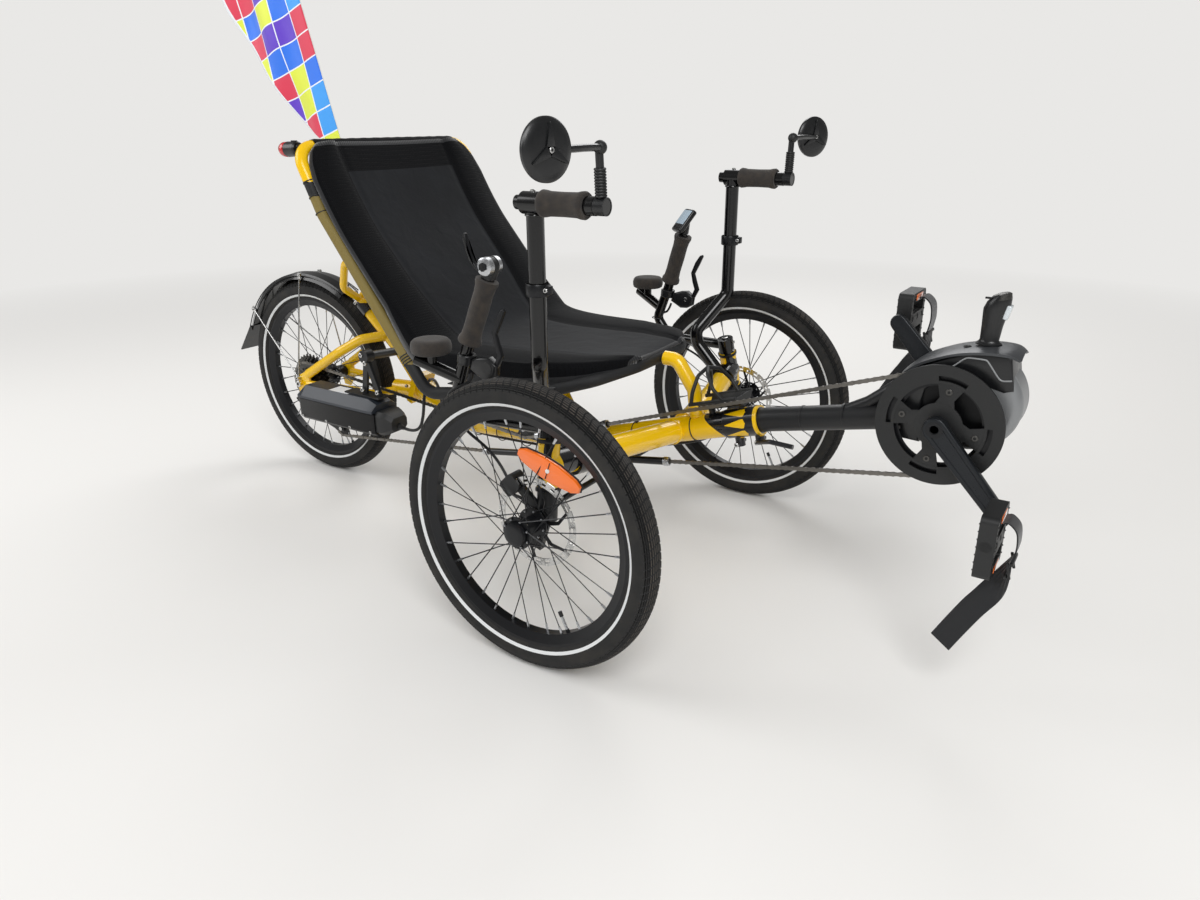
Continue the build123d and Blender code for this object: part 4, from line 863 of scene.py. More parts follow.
# Cranks, guard and pedals
crank = {
    "armY": 0.080,
    "armThick": 0.014,
    "bossRadius": 0.019,
    "tipRadius": 0.014,
    "pedalY": 0.150,
    "teeth": 44,
    "spider": math.radians(-10),
    "spiderArm": ((0.030, 0.017), (0.046, 0.0115), (0.0702, 0.022), (0.0715, 0), (0.0702, -0.022), (0.046, -0.0115),
                  (0.030, -0.017)),
    "guardY": -0.05935,
    "guardThick": 0.0034,
    "guardRings": (0.069, 0.0735, 0.0815, 0.0885, 0.099),
    "windowHalf": 16,
}
centre = Vector((crankX, 0, crankZ))


def crankTip(side):
    return centre + radial(trike["crankRest"], -side * trike["crankLength"])


bm = bmesh.new()
addCrossRod(bm, centre, -0.073, 0.073, 0.0119, 1, segments=32)
for side in (-1, 1):
    tip, outline = crankTip(side), []
    start = math.atan2((tip - centre).z, (tip - centre).x)
    for base, radius, first in ((tip, crank["tipRadius"], -85), (centre, crank["bossRadius"], 95)):
        for step in range(9):
            turn = start + math.radians(first + step * 170 / 8)
            outline.append(base + leftBy(side * crank["armY"]) + radial(turn, radius))
    addPlate(bm, outline, (0, 1, 0), crank["armThick"], 0, 0.0026, 3)
    outer = [f for f in bm.faces if f.normal.y * side > 0.9 and f.calc_area() > 0.003
             and abs(f.calc_center_median().y - side * (crank["armY"] + crank["armThick"] / 2)) < 0.0006]
    bmesh.ops.inset_region(bm, faces=outer, thickness=0.0045, depth=0.0)
    bmesh.ops.inset_region(bm, faces=outer, thickness=0.0016, depth=-0.0016)
    # caps on the arm's outer face, their middles painted black as the shade in the bolt sockets
    for spot, radius in ((centre, 0.0135), (tip, 0.0095)):
        face = spot + leftBy(side * 0.0848)
        addLathe(bm, [(0, 0.0), (0.0006, 0.0), (0.0006, radius * 0.45), (0.0023, radius * 0.55),
                      (0.0027, radius * 0.8), (0.0023, radius), (0, radius)],
                 face, (0, side, 0), 32, lambda a, r: 2 if r < 0.006 else 1)
    addCrossRod(bm, centre, side * 0.059, side * 0.074, 0.0168, 0, segments=32)
    addCrossRod(bm, tip, side * 0.086, side * 0.092, 0.0085, 3, segments=6)
    addCrossRod(bm, tip, side * 0.086, side * 0.185, 0.0059, 3, segments=20)
finishPiece("crankArms", bm, [armGrey, blackAnodised, paintedShadeBlack, steelDark], "cranks", ["crankset"])

bm = bmesh.new()
addSprocket(bm, (crankX, chainY, crankZ), crank["teeth"], 0.0019, 0.064, toothPhase(crankX, crankZ, crank["teeth"]))
guardSpot = Vector((crankX, crank["guardY"], crankZ))
addLathe(bm, [(0, radius) for radius in crank["guardRings"]], guardSpot, (0, 1, 0), 120, 1)
gone = []
for face in bm.faces:
    spot = face.calc_center_median() - guardSpot
    turn = (math.degrees(math.atan2(spot.z, spot.x)) - math.degrees(crank["spider"]) + 45) % 90 - 45
    inWindow = crank["guardRings"][1] < spot.length < crank["guardRings"][2] and abs(turn) < crank["windowHalf"]
    if face.material_index == 1 and inWindow:
        gone.append(face)
bmesh.ops.delete(bm, geom=gone, context="FACES")
addLathe(bm, [(0, 0.0165), (0, 0.0375)], guardSpot, (0, 1, 0), 60, 1)
thicken(bm, [f for f in bm.faces if f.material_index == 1], leftBy(-crank["guardThick"]))
for number in range(4):
    way = radial(crank["spider"] + math.radians(90 * number))
    wide = Vector((-way.z, 0, way.x))
    spot = guardSpot + leftBy(-crank["guardThick"] / 2)
    outline = [spot + way * a + wide * b for a, b in crank["spiderArm"]]
    addPlate(bm, outline, (0, 1, 0), crank["guardThick"] * 0.9, 1, 0.0008)
    boss = spot + way * 0.058
    addCrossRod(bm, boss, 0.010, 0, 0.0062, 1)
    addBolt(bm, boss + leftBy(-0.0012), (0, -1, 0), 0.0052, 0.0022, 2, 3)
finishPiece("chainringAndGuard", bm, [blackAnodised, blackNylon, steelDark, paintedShadeBlack], "cranks", ["chainring"],
            25)

pedalCage = {
    # height, height of the lens, height of its holder
    "reflectors": ((0.036, 0.011, 0.016), (-0.047, 0.009, 0.013)),
    "lens": 0.0118,
    "holder": 0.0108,
    "face": 0.0122,
    "edge": 0.041,
    "studs": 7,
    "studLow": -0.042,
    "studStep": 0.0125,
    "bands": (-0.030, 0.0, 0.030),
}
strap = {
    "route": ((14.6, 35), (24, 37), (36.5, 25), (40, 4), (38.5, -14), (32, -42), (22, -70), (8, -96), (-8, -122),
              (-28, -160), (-46, -196)),
    "wide": 0.037,
    "long": 0.27,
    "thick": 0.0022,
    "aside": 0.008,
    "twist": math.radians(72),
    "twistFrom": 4.4,
    "twistOver": 2.4,
    "buckle": (0.0365, -0.026),
    "buckleLean": math.radians(-14),
}
for ending, side in wheelRows:
    low = ending.lower()
    tip = crankTip(side) + leftBy(side * crank["pedalY"])
    bm = bmesh.new()
    for front in (-1, 1):  # reflectors in the cage's end bars, and grip studs along its edges
        for up, lens, holder in pedalCage["reflectors"]:
            spot = tip + Vector((front * pedalCage["lens"], 0, up))
            addBox(bm, spot, (0.004, 0.040, lens), bevel=0.0012)
            spot = tip + Vector((front * pedalCage["holder"], 0, up))
            addBox(bm, spot, (0.004, 0.046, holder), 1, bevel=0.0012)
        for row in range(pedalCage["studs"]):
            up = pedalCage["studLow"] + row * pedalCage["studStep"]
            for edge in (-1, 1):
                spot = tip + Vector((front * pedalCage["face"], edge * pedalCage["edge"], up))
                addRod(bm, spot, spot + Vector((front * 0.0018, 0, 0)), 0.0016, 1, 0.001, segments=8)
    addCrossRod(bm, tip, side * 0.0385, side * 0.0450, 0.0105, 1, 0.009)
    for aside in pedalCage["bands"]:
        addRing(bm, tip + leftBy(aside), (0, 1, 0), 0.0131, 0.0009, 1, 32, 6)
    finishPiece(f"pedalTrim{ending}", bm, [orangePrism, blackNylon], f"pedal_body_{low}")
    wear(blackNylon, f"pedal_{low}")

    # the toe strap: one long band of webbing that bulges ahead of the pedal and hangs
    route = [Vector((x, 0, z)) * mm for x, z in strap["route"]]
    bm = bmesh.new()
    grid = bmesh.ops.create_grid(bm, x_segments=60, y_segments=4, size=0.5)["verts"]
    for vert in grid:
        along = (vert.co.x + 0.5) * (len(route) - 1)
        twist = strap["twist"] * max(0.0, min((along - strap["twistFrom"]) / strap["twistOver"], 1.0)) * side
        broad = Vector((math.sin(twist) * 0.9, math.cos(twist), -math.sin(twist) * 0.42)) * vert.co.y * strap["wide"]
        vert.co = tip + alongRoute(route, along) + broad + leftBy(side * strap["aside"])
    bmesh.ops.recalc_face_normals(bm, faces=bm.faces)
    bmesh.ops.solidify(bm, geom=bm.faces[:], thickness=strap["thick"])
    band = finishPiece(f"toeStrap{ending}", bm, [webbing], f"pedal_body_{low}", [f"pedal_strap_{low}"],
                       60)
    bm = bmesh.new()
    buckle = tip + Vector((strap["buckle"][0], side * strap["aside"], strap["buckle"][1]))
    lean = Matrix.Rotation(strap["buckleLean"], 4, "Y")
    addBox(bm, buckle, (0.0045, 0.044, 0.005), 0, lean, 0.001)
    addBox(bm, buckle - Vector((0.006, 0, 0.022)), (0.0045, 0.044, 0.005), 0, lean, 0.001)
    for edge in (-1, 1):
        addBox(bm, buckle + Vector((-0.003, edge * 0.0205, -0.011)), (0.004, 0.004, 0.026), 0, lean, 0.001)
    finishPiece(f"strapBuckle{ending}", bm, [blackNylon], f"pedal_body_{low}")
print("cranks and pedals ready")

# Drive unit
motor = {
    "half": 0.0415,
    "core": ((-74, -38), (-88, 30), (-60, 78), (-4, 106), (26, 119), (60, 121), (88, 119), (90, 108), (98, 66),
             (84, 61), (40, 72), (4, 82), (-30, 50), (-36, 10), (-30, -40)),
    "panel": ((4, 92), (9, 96), (19, 106), (23, 109), (28, 110.5), (50, 110.5), (54, 109.5), (58, 105), (74, 84),
              (78, 81.5), (83, 81), (93, 83)),
    "panelBack": ((-52, 74), (-30, 84), (-4, 92), (4, 92)),
    "plate": ((-70, 74), (-50, 92), (-28, 104), (2, 116), (30, 122.5), (60, 125.5), (86, 126), (101, 120)),
    "plateHalf": 0.0455,
    "plateThick": 0.0042,
    "crown": 3.0,
    "noseFrom": 0.72,
    "noseLong": 0.28,
    "noseNarrows": 0.30,
    "noseDroops": 4.5,
    "drum": (35, 0, 36),
    "seamY": 0.0262,
    "seamRadius": 0.0779,
    "boltY": 0.0400,
    "boltRing": 0.058,
    "blackReach": 0.088,
}


def motorSpot(x, y, z):
    return Vector((crankX + x * mm, y, crankZ + z * mm))


bm = bmesh.new()
addPlate(bm, [motorSpot(x, 0, z) for x, z in motor["core"]], (0, 1, 0), motor["half"] * 2, 0, 0.004, 3)
for side in (-1, 1):  # raised grey line round the blank side panel
    y = side * (motor["half"] + 0.0006)
    for line, radius in ((motor["panel"], 0.0013), (motor["panelBack"], 0.0009)):
        addTube(bm, [motorSpot(x, y, z) for x, z in line], radius, 1, 1, 6)
    for x, z in ((-66, -20), (-74, 24), (-44, 66)):
        addBolt(bm, motorSpot(x, y, z), (0, side, 0), 0.0048, 0.0025, 2, 3)
finishPiece("motorBody", bm, [blackAbs, panelLine, steelDark, paintedShadeBlack], "chassis", ["motor_housing"])
bm = bmesh.new()
grid = bmesh.ops.create_grid(bm, x_segments=42, y_segments=14, size=0.5)["verts"]
route = [Vector(spot) for spot in motor["plate"]]
for vert in grid:  # it narrows and droops toward its nose
    along, across = (vert.co.x + 0.5) * (len(route) - 1), vert.co.y * 2
    x, z = alongRoute(route, along)
    nose = max(0.0, (along / (len(route) - 1) - motor["noseFrom"]) / motor["noseLong"])
    half = motor["plateHalf"] * (1 - motor["noseNarrows"] * nose**2.2)
    crown = -motor["crown"] * abs(across) ** 3.0
    vert.co = motorSpot(x, across * half, z + crown - (motor["noseDroops"] * abs(across) ** 2 * nose))
bmesh.ops.recalc_face_normals(bm, faces=bm.faces)
bmesh.ops.solidify(bm, geom=bm.faces[:], thickness=motor["plateThick"])
finishPiece("motorTopPlate", bm, [motorGrey], "chassis", sharp=50)
bm = bmesh.new()
drumCentre = motorSpot(*motor["drum"])
boltRing = motor["boltRing"]
for side in (-1, 1):
    addRing(bm, drumCentre + leftBy(side * motor["seamY"]), (0, 1, 0), motor["seamRadius"], 0.0006, 0, 96)
    addLathe(bm, [(0, 0.018), (0.0035, 0.018), (0.0035, 0.0235), (0, 0.0245)], centre + leftBy(side * 0.0472),
             (0, side, 0), 40, 1)
for number in range(3):
    turn = math.radians(-150 + number * 60)
    for side in (-1, 1):
        spot = drumCentre + Vector((math.cos(turn) * boltRing, side * motor["boltY"], math.sin(turn) * boltRing))
        addBolt(bm, spot, (0, side, 0), 0.0045, 0.0022, 2, 3)
addLathe(bm, [(0, 0.0), (0.0018, 0.0), (0.0022, 0.0035), (0.0010, 0.0060), (0, 0.0062)],
         motorSpot(18, -0.012, 120.5), (0, 0, 1), 24, 3)
finishPiece("motorTrim", bm, [panelLine, blackAnodised, steelDark, paintedShadeBlack], "chassis")
# the drum's side discs are black inside the chainring's width
tree = drumSilver.node_tree
flat = reckonPlaces(tree, "MULTIPLY", place(tree), Vector((1, 0, 1)), output="Vector")
reach = reckonPlaces(tree, "DISTANCE", flat, Vector((crankX, 0, crankZ)))
inner = reckon(tree, "LESS_THAN", reach, motor["blackReach"])
paintOver(tree, tree.nodes["Principled BSDF"], "#8f9193", "#0c0d0f", inner)
wear(drumSilver, "motor_drum")

# front lamp: flared collar, post that widens upward, slanted head with a lens strip and a bright cap
headlight = {
    "ahead": 0.046,
    "headFrom": 0.18,
    "slant": 0.35,
    "capFrom": 0.2005,
    # lift, shift ahead, half length, half width
    "rings": ((0.1255, 0, 19.5, 15), (0.1275, 0, 19.5, 15), (0.1300, 0, 16, 12), (0.1330, 0, 14.2, 11),
              (0.155, 1, 15.6, 12), (0.176, 2.5, 18, 14), (0.186, 4, 19.5, 14.8), (0.196, 6, 17.5, 14),
              (0.2045, 9, 13.0, 12), (0.2072, 10.5, 7.5, 8)),
}
bm = bmesh.new()
lampX = crankX + headlight["ahead"]
rings = []
for lift, shift, wideX, wideY in headlight["rings"]:
    ring = bmesh.ops.create_circle(bm, segments=32, radius=1.0)["verts"]
    slant = 0.0 if lift < headlight["headFrom"] else headlight["slant"]
    for vert in ring:
        x, y = vert.co.x * wideX * mm, vert.co.y * wideY * mm
        vert.co = Vector((lampX + shift * mm + x, y, crankZ + lift + slant * x * 0.6))
    rings.append(ring)
ringEdges = [list({e for v in ring for e in v.link_edges}) for ring in rings]
for low, high in zip(ringEdges, ringEdges[1:]):
    bmesh.ops.bridge_loops(bm, edges=low + high)
bmesh.ops.contextual_create(bm, geom=ringEdges[-1])
for face in bm.faces:
    face.material_index = 1 if face.calc_center_median().z > crankZ + headlight["capFrom"] else 0
addBox(bm, (lampX + 0.0205, 0, crankZ + 0.178), (0.008, 0.019, 0.022), 2,
       Matrix.Rotation(math.radians(12), 4, "Y"), 0.002)
# a small black mark on the head is painted shade of a gap
addBox(bm, (lampX - 0.009, -0.0075, crankZ + 0.1985), (0.010, 0.004, 0.003), 3, bevel=0.001)
finishPiece("frontLamp", bm, [blackAbs, steelDark, clearLens, paintedShadeBlack], "chassis", ["headlight"],
            40)
print("drive unit ready")

# Frame: paint and its black decals follow the spine, so they read each point's place along and round it
spine = {
    "lineFoot": (-170, 240),
    "lineSlope": 0.2952,
    "lineLean": 1.04,
    "front": (0.5283, 0.0, 0.356),
    "direction": (0.9591, 0.0, 0.2831),
    "up": (-0.2831, 0.0, 0.9591),
    "sweepTop": 0.112,
    "sweepLow": 0.076,
    "windowNear": 0.021,
    "windowFar": 0.066,
    "windowHalf": 0.0088,
    "windowStep": 0.803,
    "windowTurn": 0.348,
    "paintRadius": 0.028,
    "ringWide": 0.007,
    "collarRadius": 0.0296,
}


def spinePlaces(tree):
    # distance back from the spine's front end, height over its axis, distance aside, and the angle up from its side
    offset = reckonPlaces(tree, "SUBTRACT", place(tree), spine["front"], output="Vector")
    along = reckonPlaces(tree, "DOT_PRODUCT", offset, [-a for a in spine["direction"]])
    high = reckonPlaces(tree, "DOT_PRODUCT", offset, spine["up"])
    wide = reckon(tree, "ABSOLUTE", placeAlong(tree, "Y"))
    return along, high, wide, reckon(tree, "ARCTAN2", high, wide)


# Gloss yellow powder paint on the main frame, black sweep behind the collar, black flames on the arms' ends
sweptPaint, tree, shader = startMaterial("sweptYellowPaint", paintYellow, 0.24, **paintCoat)
addGrain(tree, shader, 6 * mm, 0.05 * mm, 0.03, 0.24)
along, high, wide, angle = spinePlaces(tree)
edge = remap(tree, angle, -0.9, 1.2, spine["sweepLow"], spine["sweepTop"], interpolation_type="SMOOTHSTEP")
flames = node(tree, "ShaderNodeTexWave", {"Scale": 9.0, "Distortion": 9.0, "Detail": 0.0, "Detail Scale": 1.6,
                                          "bands_direction": "DIAGONAL", "Vector": place(tree)})
flame = reckon(tree, "MULTIPLY", flames.outputs["Fac"], remap(tree, wide, 0.19, 0.31))
black = reckon(tree, "MAXIMUM", reckon(tree, "LESS_THAN", along, edge), reckon(tree, "GREATER_THAN", flame, 0.5))
paintOver(tree, shader, paintYellow, "#131417", black)

# Satin black collar with a yellow lip and tapered yellow windows round it
collarPaint, tree, shader = startMaterial("collarPaint", paintBlack, 0.3, IOR=1.5, Coat_Weight=0.4,
                                          Coat_Roughness=0.12)
addGrain(tree, shader, 5 * mm, 0.04 * mm, 0.03, 0.3)
along, high, wide, angle = spinePlaces(tree)
turned = reckon(tree, "MULTIPLY_ADD", angle, 1 / spine["windowStep"], spine["windowTurn"])
arc = reckon(tree, "MULTIPLY", fromMiddle(tree, turned), spine["windowStep"] * spine["paintRadius"])
near, half = spine["windowNear"], spine["windowHalf"]
taper = remap(tree, along, near + 0.010, spine["windowFar"], half, 0.0)
nose = remap(tree, along, near, near + 0.006, 0.0, half, interpolation_type="SMOOTHERSTEP")
window = reckon(tree, "LESS_THAN", arc, reckon(tree, "MINIMUM", taper, nose))
bright = reckon(tree, "MAXIMUM", window, reckon(tree, "LESS_THAN", along, spine["ringWide"]))
reach = reckon(tree, "MULTIPLY_ADD", wide, wide, reckon(tree, "MULTIPLY", high, high))
onCollar = reckon(tree, "LESS_THAN", reach, spine["collarRadius"] ** 2)
paintOver(tree, shader, paintBlack, paintYellow, reckon(tree, "MULTIPLY", bright, onCollar))

# Seat tube: yellow at the top corners, black band, black mesh sleeve on the uprights painted olive-gold as painted
# sunlight, black below
sleeve = {"from": 0.35, "to": 0.85, "yellowAbove": 0.767, "bandBelow": 0.739, "sunlitSleeveAbove": 0.428, "uprightY": 0.23}
seatTubePaint, tree, shader = startMaterial("seatTubeSunlitSleeve", "#17181a", 0.45)
high = placeAlong(tree, "Z")
stops = [(0.0, "#17181a")]
# the olive-gold stop is painted sunlight on the black sleeve
for name, code in (("sunlitSleeveAbove", "#7a6a32"), ("bandBelow", "#141517"), ("yellowAbove", paintYellow)):
    stops.append(((sleeve[name] - sleeve["from"]) / (sleeve["to"] - sleeve["from"]), code))
tubeColours = stepColours(tree, remap(tree, high, sleeve["from"], sleeve["to"]), stops)
upright = reckon(tree, "GREATER_THAN", reckon(tree, "ABSOLUTE", placeAlong(tree, "Y")), sleeve["uprightY"])
raised = reckon(tree, "GREATER_THAN", high, sleeve["yellowAbove"])
paintOver(tree, shader, "#17181a", tubeColours, reckon(tree, "MAXIMUM", upright, raised))
matt = remap(tree, high, sleeve["yellowAbove"] - 0.001, sleeve["yellowAbove"], 0.62, 0.24)
tree.links.new(matt, shader.inputs["Roughness"])
addBump(tree, shader, cellPattern(tree, 2.4 * mm, 0.15), reckon(tree, "SUBTRACT", 1.0, raised), 0.5 * mm)

# Yoke and strut: yellow paint above a black clamp
strutPaint, tree, shader = startMaterial("strutPaint", paintYellow, 0.25, **paintCoat)
addGrain(tree, shader, 6 * mm, 0.05 * mm, 0.03, 0.25)
paintOver(tree, shader, paintYellow, paintBlack, reckon(tree, "LESS_THAN", placeAlong(tree, "Z"), 0.469))

wear(sweptPaint, "main_frame")
wear(yellowPaint, "rear_frame")
wear(blackCoat, "boom", "battery_mount")
wear(collarPaint, "boom_clamp")
wear(seatTubePaint, "seat_frame")
wear(strutPaint, "seat_strut")
wear(blackNylon, "bottle_cage")
wear(blackAnodised, "tie_rod")
wear(steelBright, "mudguard_stays")


def onSpine(x, aside=0.0, above=0.0):  # a place by its distance ahead of the axles, off the spine's axis
    footX, footZ = spine["lineFoot"]
    return at(x, aside, footZ + (x - footX) * spine["lineSlope"] + above * spine["lineLean"])


def mirrored(spot, side):
    return spot[0], side * spot[1], spot[2]


# Small things on the frame: cable ties, weld beads, headset cups, boom bands, collar screws, seat and axle bolts
frameTrim = {
    "tieAt": (-44, 87, -150),
    "tieRadius": 0.0258,
    "tieWire": 0.0011,
    "beadWire": 0.0019,
    "yokeBead": (48, 27, 307),
    "yokeWay": (-22, 180, 20),
    "cupTop": (-13.3, 345, 379),
    "cupLow": (-4.2, 365.5, 293.5),
    # place, way and radius of the beads in the middle plane
    "beads": (((88.5, 0, 343), (-8, 0, 72), 0.0144), ((-190, 0, 265), (-78, 0, 130), 0.0134)),
    "boomBands": (303, 378),
    "boomFoot": (223, 0, 356),
    "boomWay": (0.2154, 0, 0.0497),
    "earsBack": (54, 12),
    "earBolt": (0.011, 0.017, -0.037),
    # place, way, radius and height of the seat's, stays' and axle's bolts
    "bolts": (((172, 19.5, 468), (0, 1, 0), 0.0042, 0.003), ((336, 34, 289), (0.92, 0, -0.38), 0.0042, 0.004),
              ((0, 81.2, 253), (0, 1, 0), 0.0085, 0.005)),
}
bm = bmesh.new()
for x in frameTrim["tieAt"]:
    addRing(bm, onSpine(x), spine["direction"], frameTrim["tieRadius"], frameTrim["tieWire"], 0, 48)
    addBox(bm, onSpine(x, -6, 27), (0.005, 0.006, 0.004), bevel=0.0008)
for side in (-1, 1):
    names = ("yokeBead", "yokeWay", "cupTop", "cupLow")
    yoke, yokeWay, top, low = (mirrored(frameTrim[name], side) for name in names)
    addRing(bm, at(*yoke), yokeWay, 0.0234, frameTrim["beadWire"], 1, 48)
    top, low = at(*top), at(*low)
    lean = (top - low).normalized()
    for spot, way in ((top, 1), (low, -1)):
        addLathe(bm, [(0.0, 0.0192), (0.0, 0.0212), (-0.0045, 0.0214), (-0.007, 0.0200), (-0.007, 0.0192)], spot,
                 lean * way, 40, 2)
for spot, way, radius in frameTrim["beads"]:
    addRing(bm, at(*spot), way, radius, frameTrim["beadWire"], 1)
boomWay = Vector(frameTrim["boomWay"]).normalized()
boomFoot = at(*frameTrim["boomFoot"])
for x in frameTrim["boomBands"]:
    spot = boomFoot + boomWay * (x - frameTrim["boomFoot"][0]) * mm * 1.03
    addLathe(bm, [(-0.002, 0.0226), (-0.0016, 0.0231), (0.0016, 0.0231), (0.002, 0.0226)], spot, boomWay, 48, 3)
for side in (-1, 1):
    for back in frameTrim["earsBack"]:
        ear = boomFoot - Vector(spine["direction"]) * back * mm
        addBolt(bm, ear + Vector(mirrored(frameTrim["earBolt"], side)), (0, side, 0), 0.0042, 0.003, 4, 5)
    for spot, way, radius, tall in frameTrim["bolts"]:
        addBolt(bm, behind(*mirrored(spot, side)), mirrored(way, side), radius, tall, 4, 5)
finishPiece("frameTrim", bm, [blackNylon, yellowPaint, blackAnodised, blackCoat, steelBright, paintedShadeBlack], "chassis")

# Motor cable tied under the spine, and its small ties
motorCable = {
    "radius": 0.0031,
    "route": ((462, 12, 393), (400, 16, 379), (270, 22, 346), (225, 30, 339), (150, 30, 317), (118, 20, 302),
              (92, 8, 286), (0, 6, 259), (-130, 6, 218), (-200, 6, 207), (-330, 6, 197), (-505, 5, 192),
              (-560, 4, 212), (-610, 12, 240)),
    "tieAt": (-330, -400, -470),
}
bm = bmesh.new()
addTube(bm, [at(*spot) for spot in motorCable["route"]], motorCable["radius"])
for x in motorCable["tieAt"]:
    addRing(bm, at(x, 0, 222), (1, 0, 0), 0.0282, frameTrim["tieWire"], 1)
finishPiece("motorCable", bm, [cablePvc, blackNylon], "chassis")
print("frame ready")

# Seat: stretched mesh sling with a smooth middle panel, bolsters, seams and a bound edge
seat = {
    "hemAt": (-700, 0, 832),
    "hemHalf": 206,
    "hemSteps": 41,
    "hemRadius": 14.6,
    # rows of places along the trike in millimetres ahead of the front axles, each with a height or a width
    "path": ((-679, 842), (-617, 714), (-515, 595), (-412, 476), (-372, 458), (-281, 456), (-173, 461), (-79, 464),
             (-6, 469), (8, 462)),
    "halfWide": ((-679, 206), (-672, 228), (-660, 243), (-642, 251), (-388, 252), (-160, 219), (-79, 190), (-34, 160),
                 (-4, 118), (8, 92)),
    "skirt": ((-679, 5), (-600, 7), (-470, 12), (-400, 34), (-330, 44), (-170, 42), (-60, 30), (8, 16)),
    "panelHalf": ((-679, 158), (-500, 152), (-400, 132), (-300, 120), (-100, 112), (8, 74)),
    "stations": 96,
    "across": 50,
    "panelShare": 0.6,
    "corner": 9.0,
    "thickness": 0.0032,
    "sag": 5.0,
    "bolster": 5.0,
    "topBand": -652,
    "flat": (0.62, 0.93),
}
# Seat mesh: open hexagon knit, each hole painted darker as the shade in it, satin thread
meshCloth, tree, shader = startMaterial("seatMeshCloth", "#08090b", 0.75, Sheen_Weight=0.06, Sheen_Roughness=0.4,
                                        Specular_IOR_Level=0.1)
knit = remap(tree, cellPattern(tree, 4.2 * mm, 0.12), 0.1, 0.45)
paintOver(tree, shader, "#020203", "#0a0b0e", knit)
addBump(tree, shader, knit, 0.8, 0.7 * mm)
# Middle panel: tightly woven charcoal cloth, soft wrinkles, dusty where it is sat on
panelCloth, tree, shader = startMaterial("seatPanelCloth", "#191b20", 0.82, Sheen_Weight=0.08, Sheen_Roughness=0.5,
                                         Specular_IOR_Level=0.2)
addDustAndSunPatches(tree, shader, "#101216", "#1b1e23", 110 * mm, 0.35, 0.8, 0.6)
folds = node(tree, "ShaderNodeTexNoise", {"Scale": 26.0, "Detail": 3.0, "Distortion": 0.6, "Vector": place(tree)})
threads = cellPattern(tree, 1.3 * mm, 0.2)
fine = node(tree, "ShaderNodeBump", {"Strength": 0.5, "Distance": 0.25 * mm, "Height": threads})
addBump(tree, shader, folds.outputs["Fac"], 0.5, 3.0 * mm, Normal=fine.outputs["Normal"])

seatLine = smoothPath([at(x, 0, z) for x, z in seat["path"]], seat["stations"])
rows = []
for number, spot in enumerate(seatLine):
    before, after = seatLine[max(number - 1, 0)], seatLine[min(number + 1, len(seatLine) - 1)]
    run = (after - before).normalized()
    outward = Vector((-run.z, 0, run.x))
    x = (spot.x - frontX) / mm
    wide, skirt, panel = between(seat["halfWide"], x), between(seat["skirt"], x), between(seat["panelHalf"], x)
    corner, total, share = seat["corner"], wide + skirt, seat["panelShare"]
    row = []
    for k in range(seat["across"] + 1):
        v = 2 * k / seat["across"] - 1
        reach = abs(v) / share * panel  # one row of points runs along the panel's seam
        if abs(v) > share:
            reach = panel + (abs(v) - share) / (1 - share) * (total - panel)
        aside, drop = reach, 0.0
        if reach > wide - corner:  # round the tube and down its side
            turn = min((reach - wide + corner) / (corner * 1.57), 1.0) * math.pi / 2
            aside = wide - corner + corner * math.sin(turn)
            drop = corner * (1 - math.cos(turn)) + max(0.0, reach - wide + corner - corner * 1.57)
        rise = 0.0
        if aside > panel:
            part = min((aside - panel) / max(wide - corner - panel, 1.0), 1.0)
            rise = seat["bolster"] * math.sin(math.pi * min(part * 1.15, 1.0)) ** 0.6 if part < 0.87 else 0.0
        groove = 2.0 * math.exp(-((abs(aside - panel) / 4.0) ** 2))
        sag = seat["sag"] * math.cos(min(aside / wide, 1.0) * math.pi / 2)
        side = -1 if v < 0 else 1
        ripple = 0.8 * math.sin(x * 0.021 + aside * 0.017 * side) * (1 - (aside / (wide + 1)) ** 2)
        row.append(spot + leftBy(side * aside * mm) + outward * (rise - groove - sag + ripple - drop) * mm)
    rows.append(row)


def seatIndex(number, k):  # webbing at the ends, cloth in the middle, mesh beside it and above
    if k in (0, seat["across"] - 1) or number in (0, len(rows) - 2):
        return 2
    middle = abs(2 * (k + 0.5) / seat["across"] - 1) < seat["panelShare"]
    return 0 if middle and (seatLine[number].x - frontX) / mm > seat["topBand"] else 1


bm = bmesh.new()
addRows(bm, rows, seatIndex)
area = sum(face.calc_area() for face in bm.faces)
sling = finishPiece("seatSling", bm, [panelCloth, meshCloth, webbing], "chassis", ["seat_sling"], 70)
solid = sling.modifiers.new("thickness", "SOLIDIFY")
solid.thickness = seat["thickness"]
solid.offset = -1.0
bm = bmesh.new()  # the cloth's top hem, sewn round the bow's straight run
hem, steps = [], seat["hemSteps"]
for number in range(steps + 1):
    y = -seat["hemHalf"] + number * 2 * seat["hemHalf"] / steps
    pull = 1.4 if number in (0, steps) else 0
    hem.append((y * mm, (seat["hemRadius"] + 0.35 * math.sin(number * 1.9) - pull) * mm))
addLathe(bm, hem, at(*seat["hemAt"]), (0, 1, 0), 36)
topHem = finishPiece("seatTopHem", bm, [meshCloth], "chassis", sharp=60)

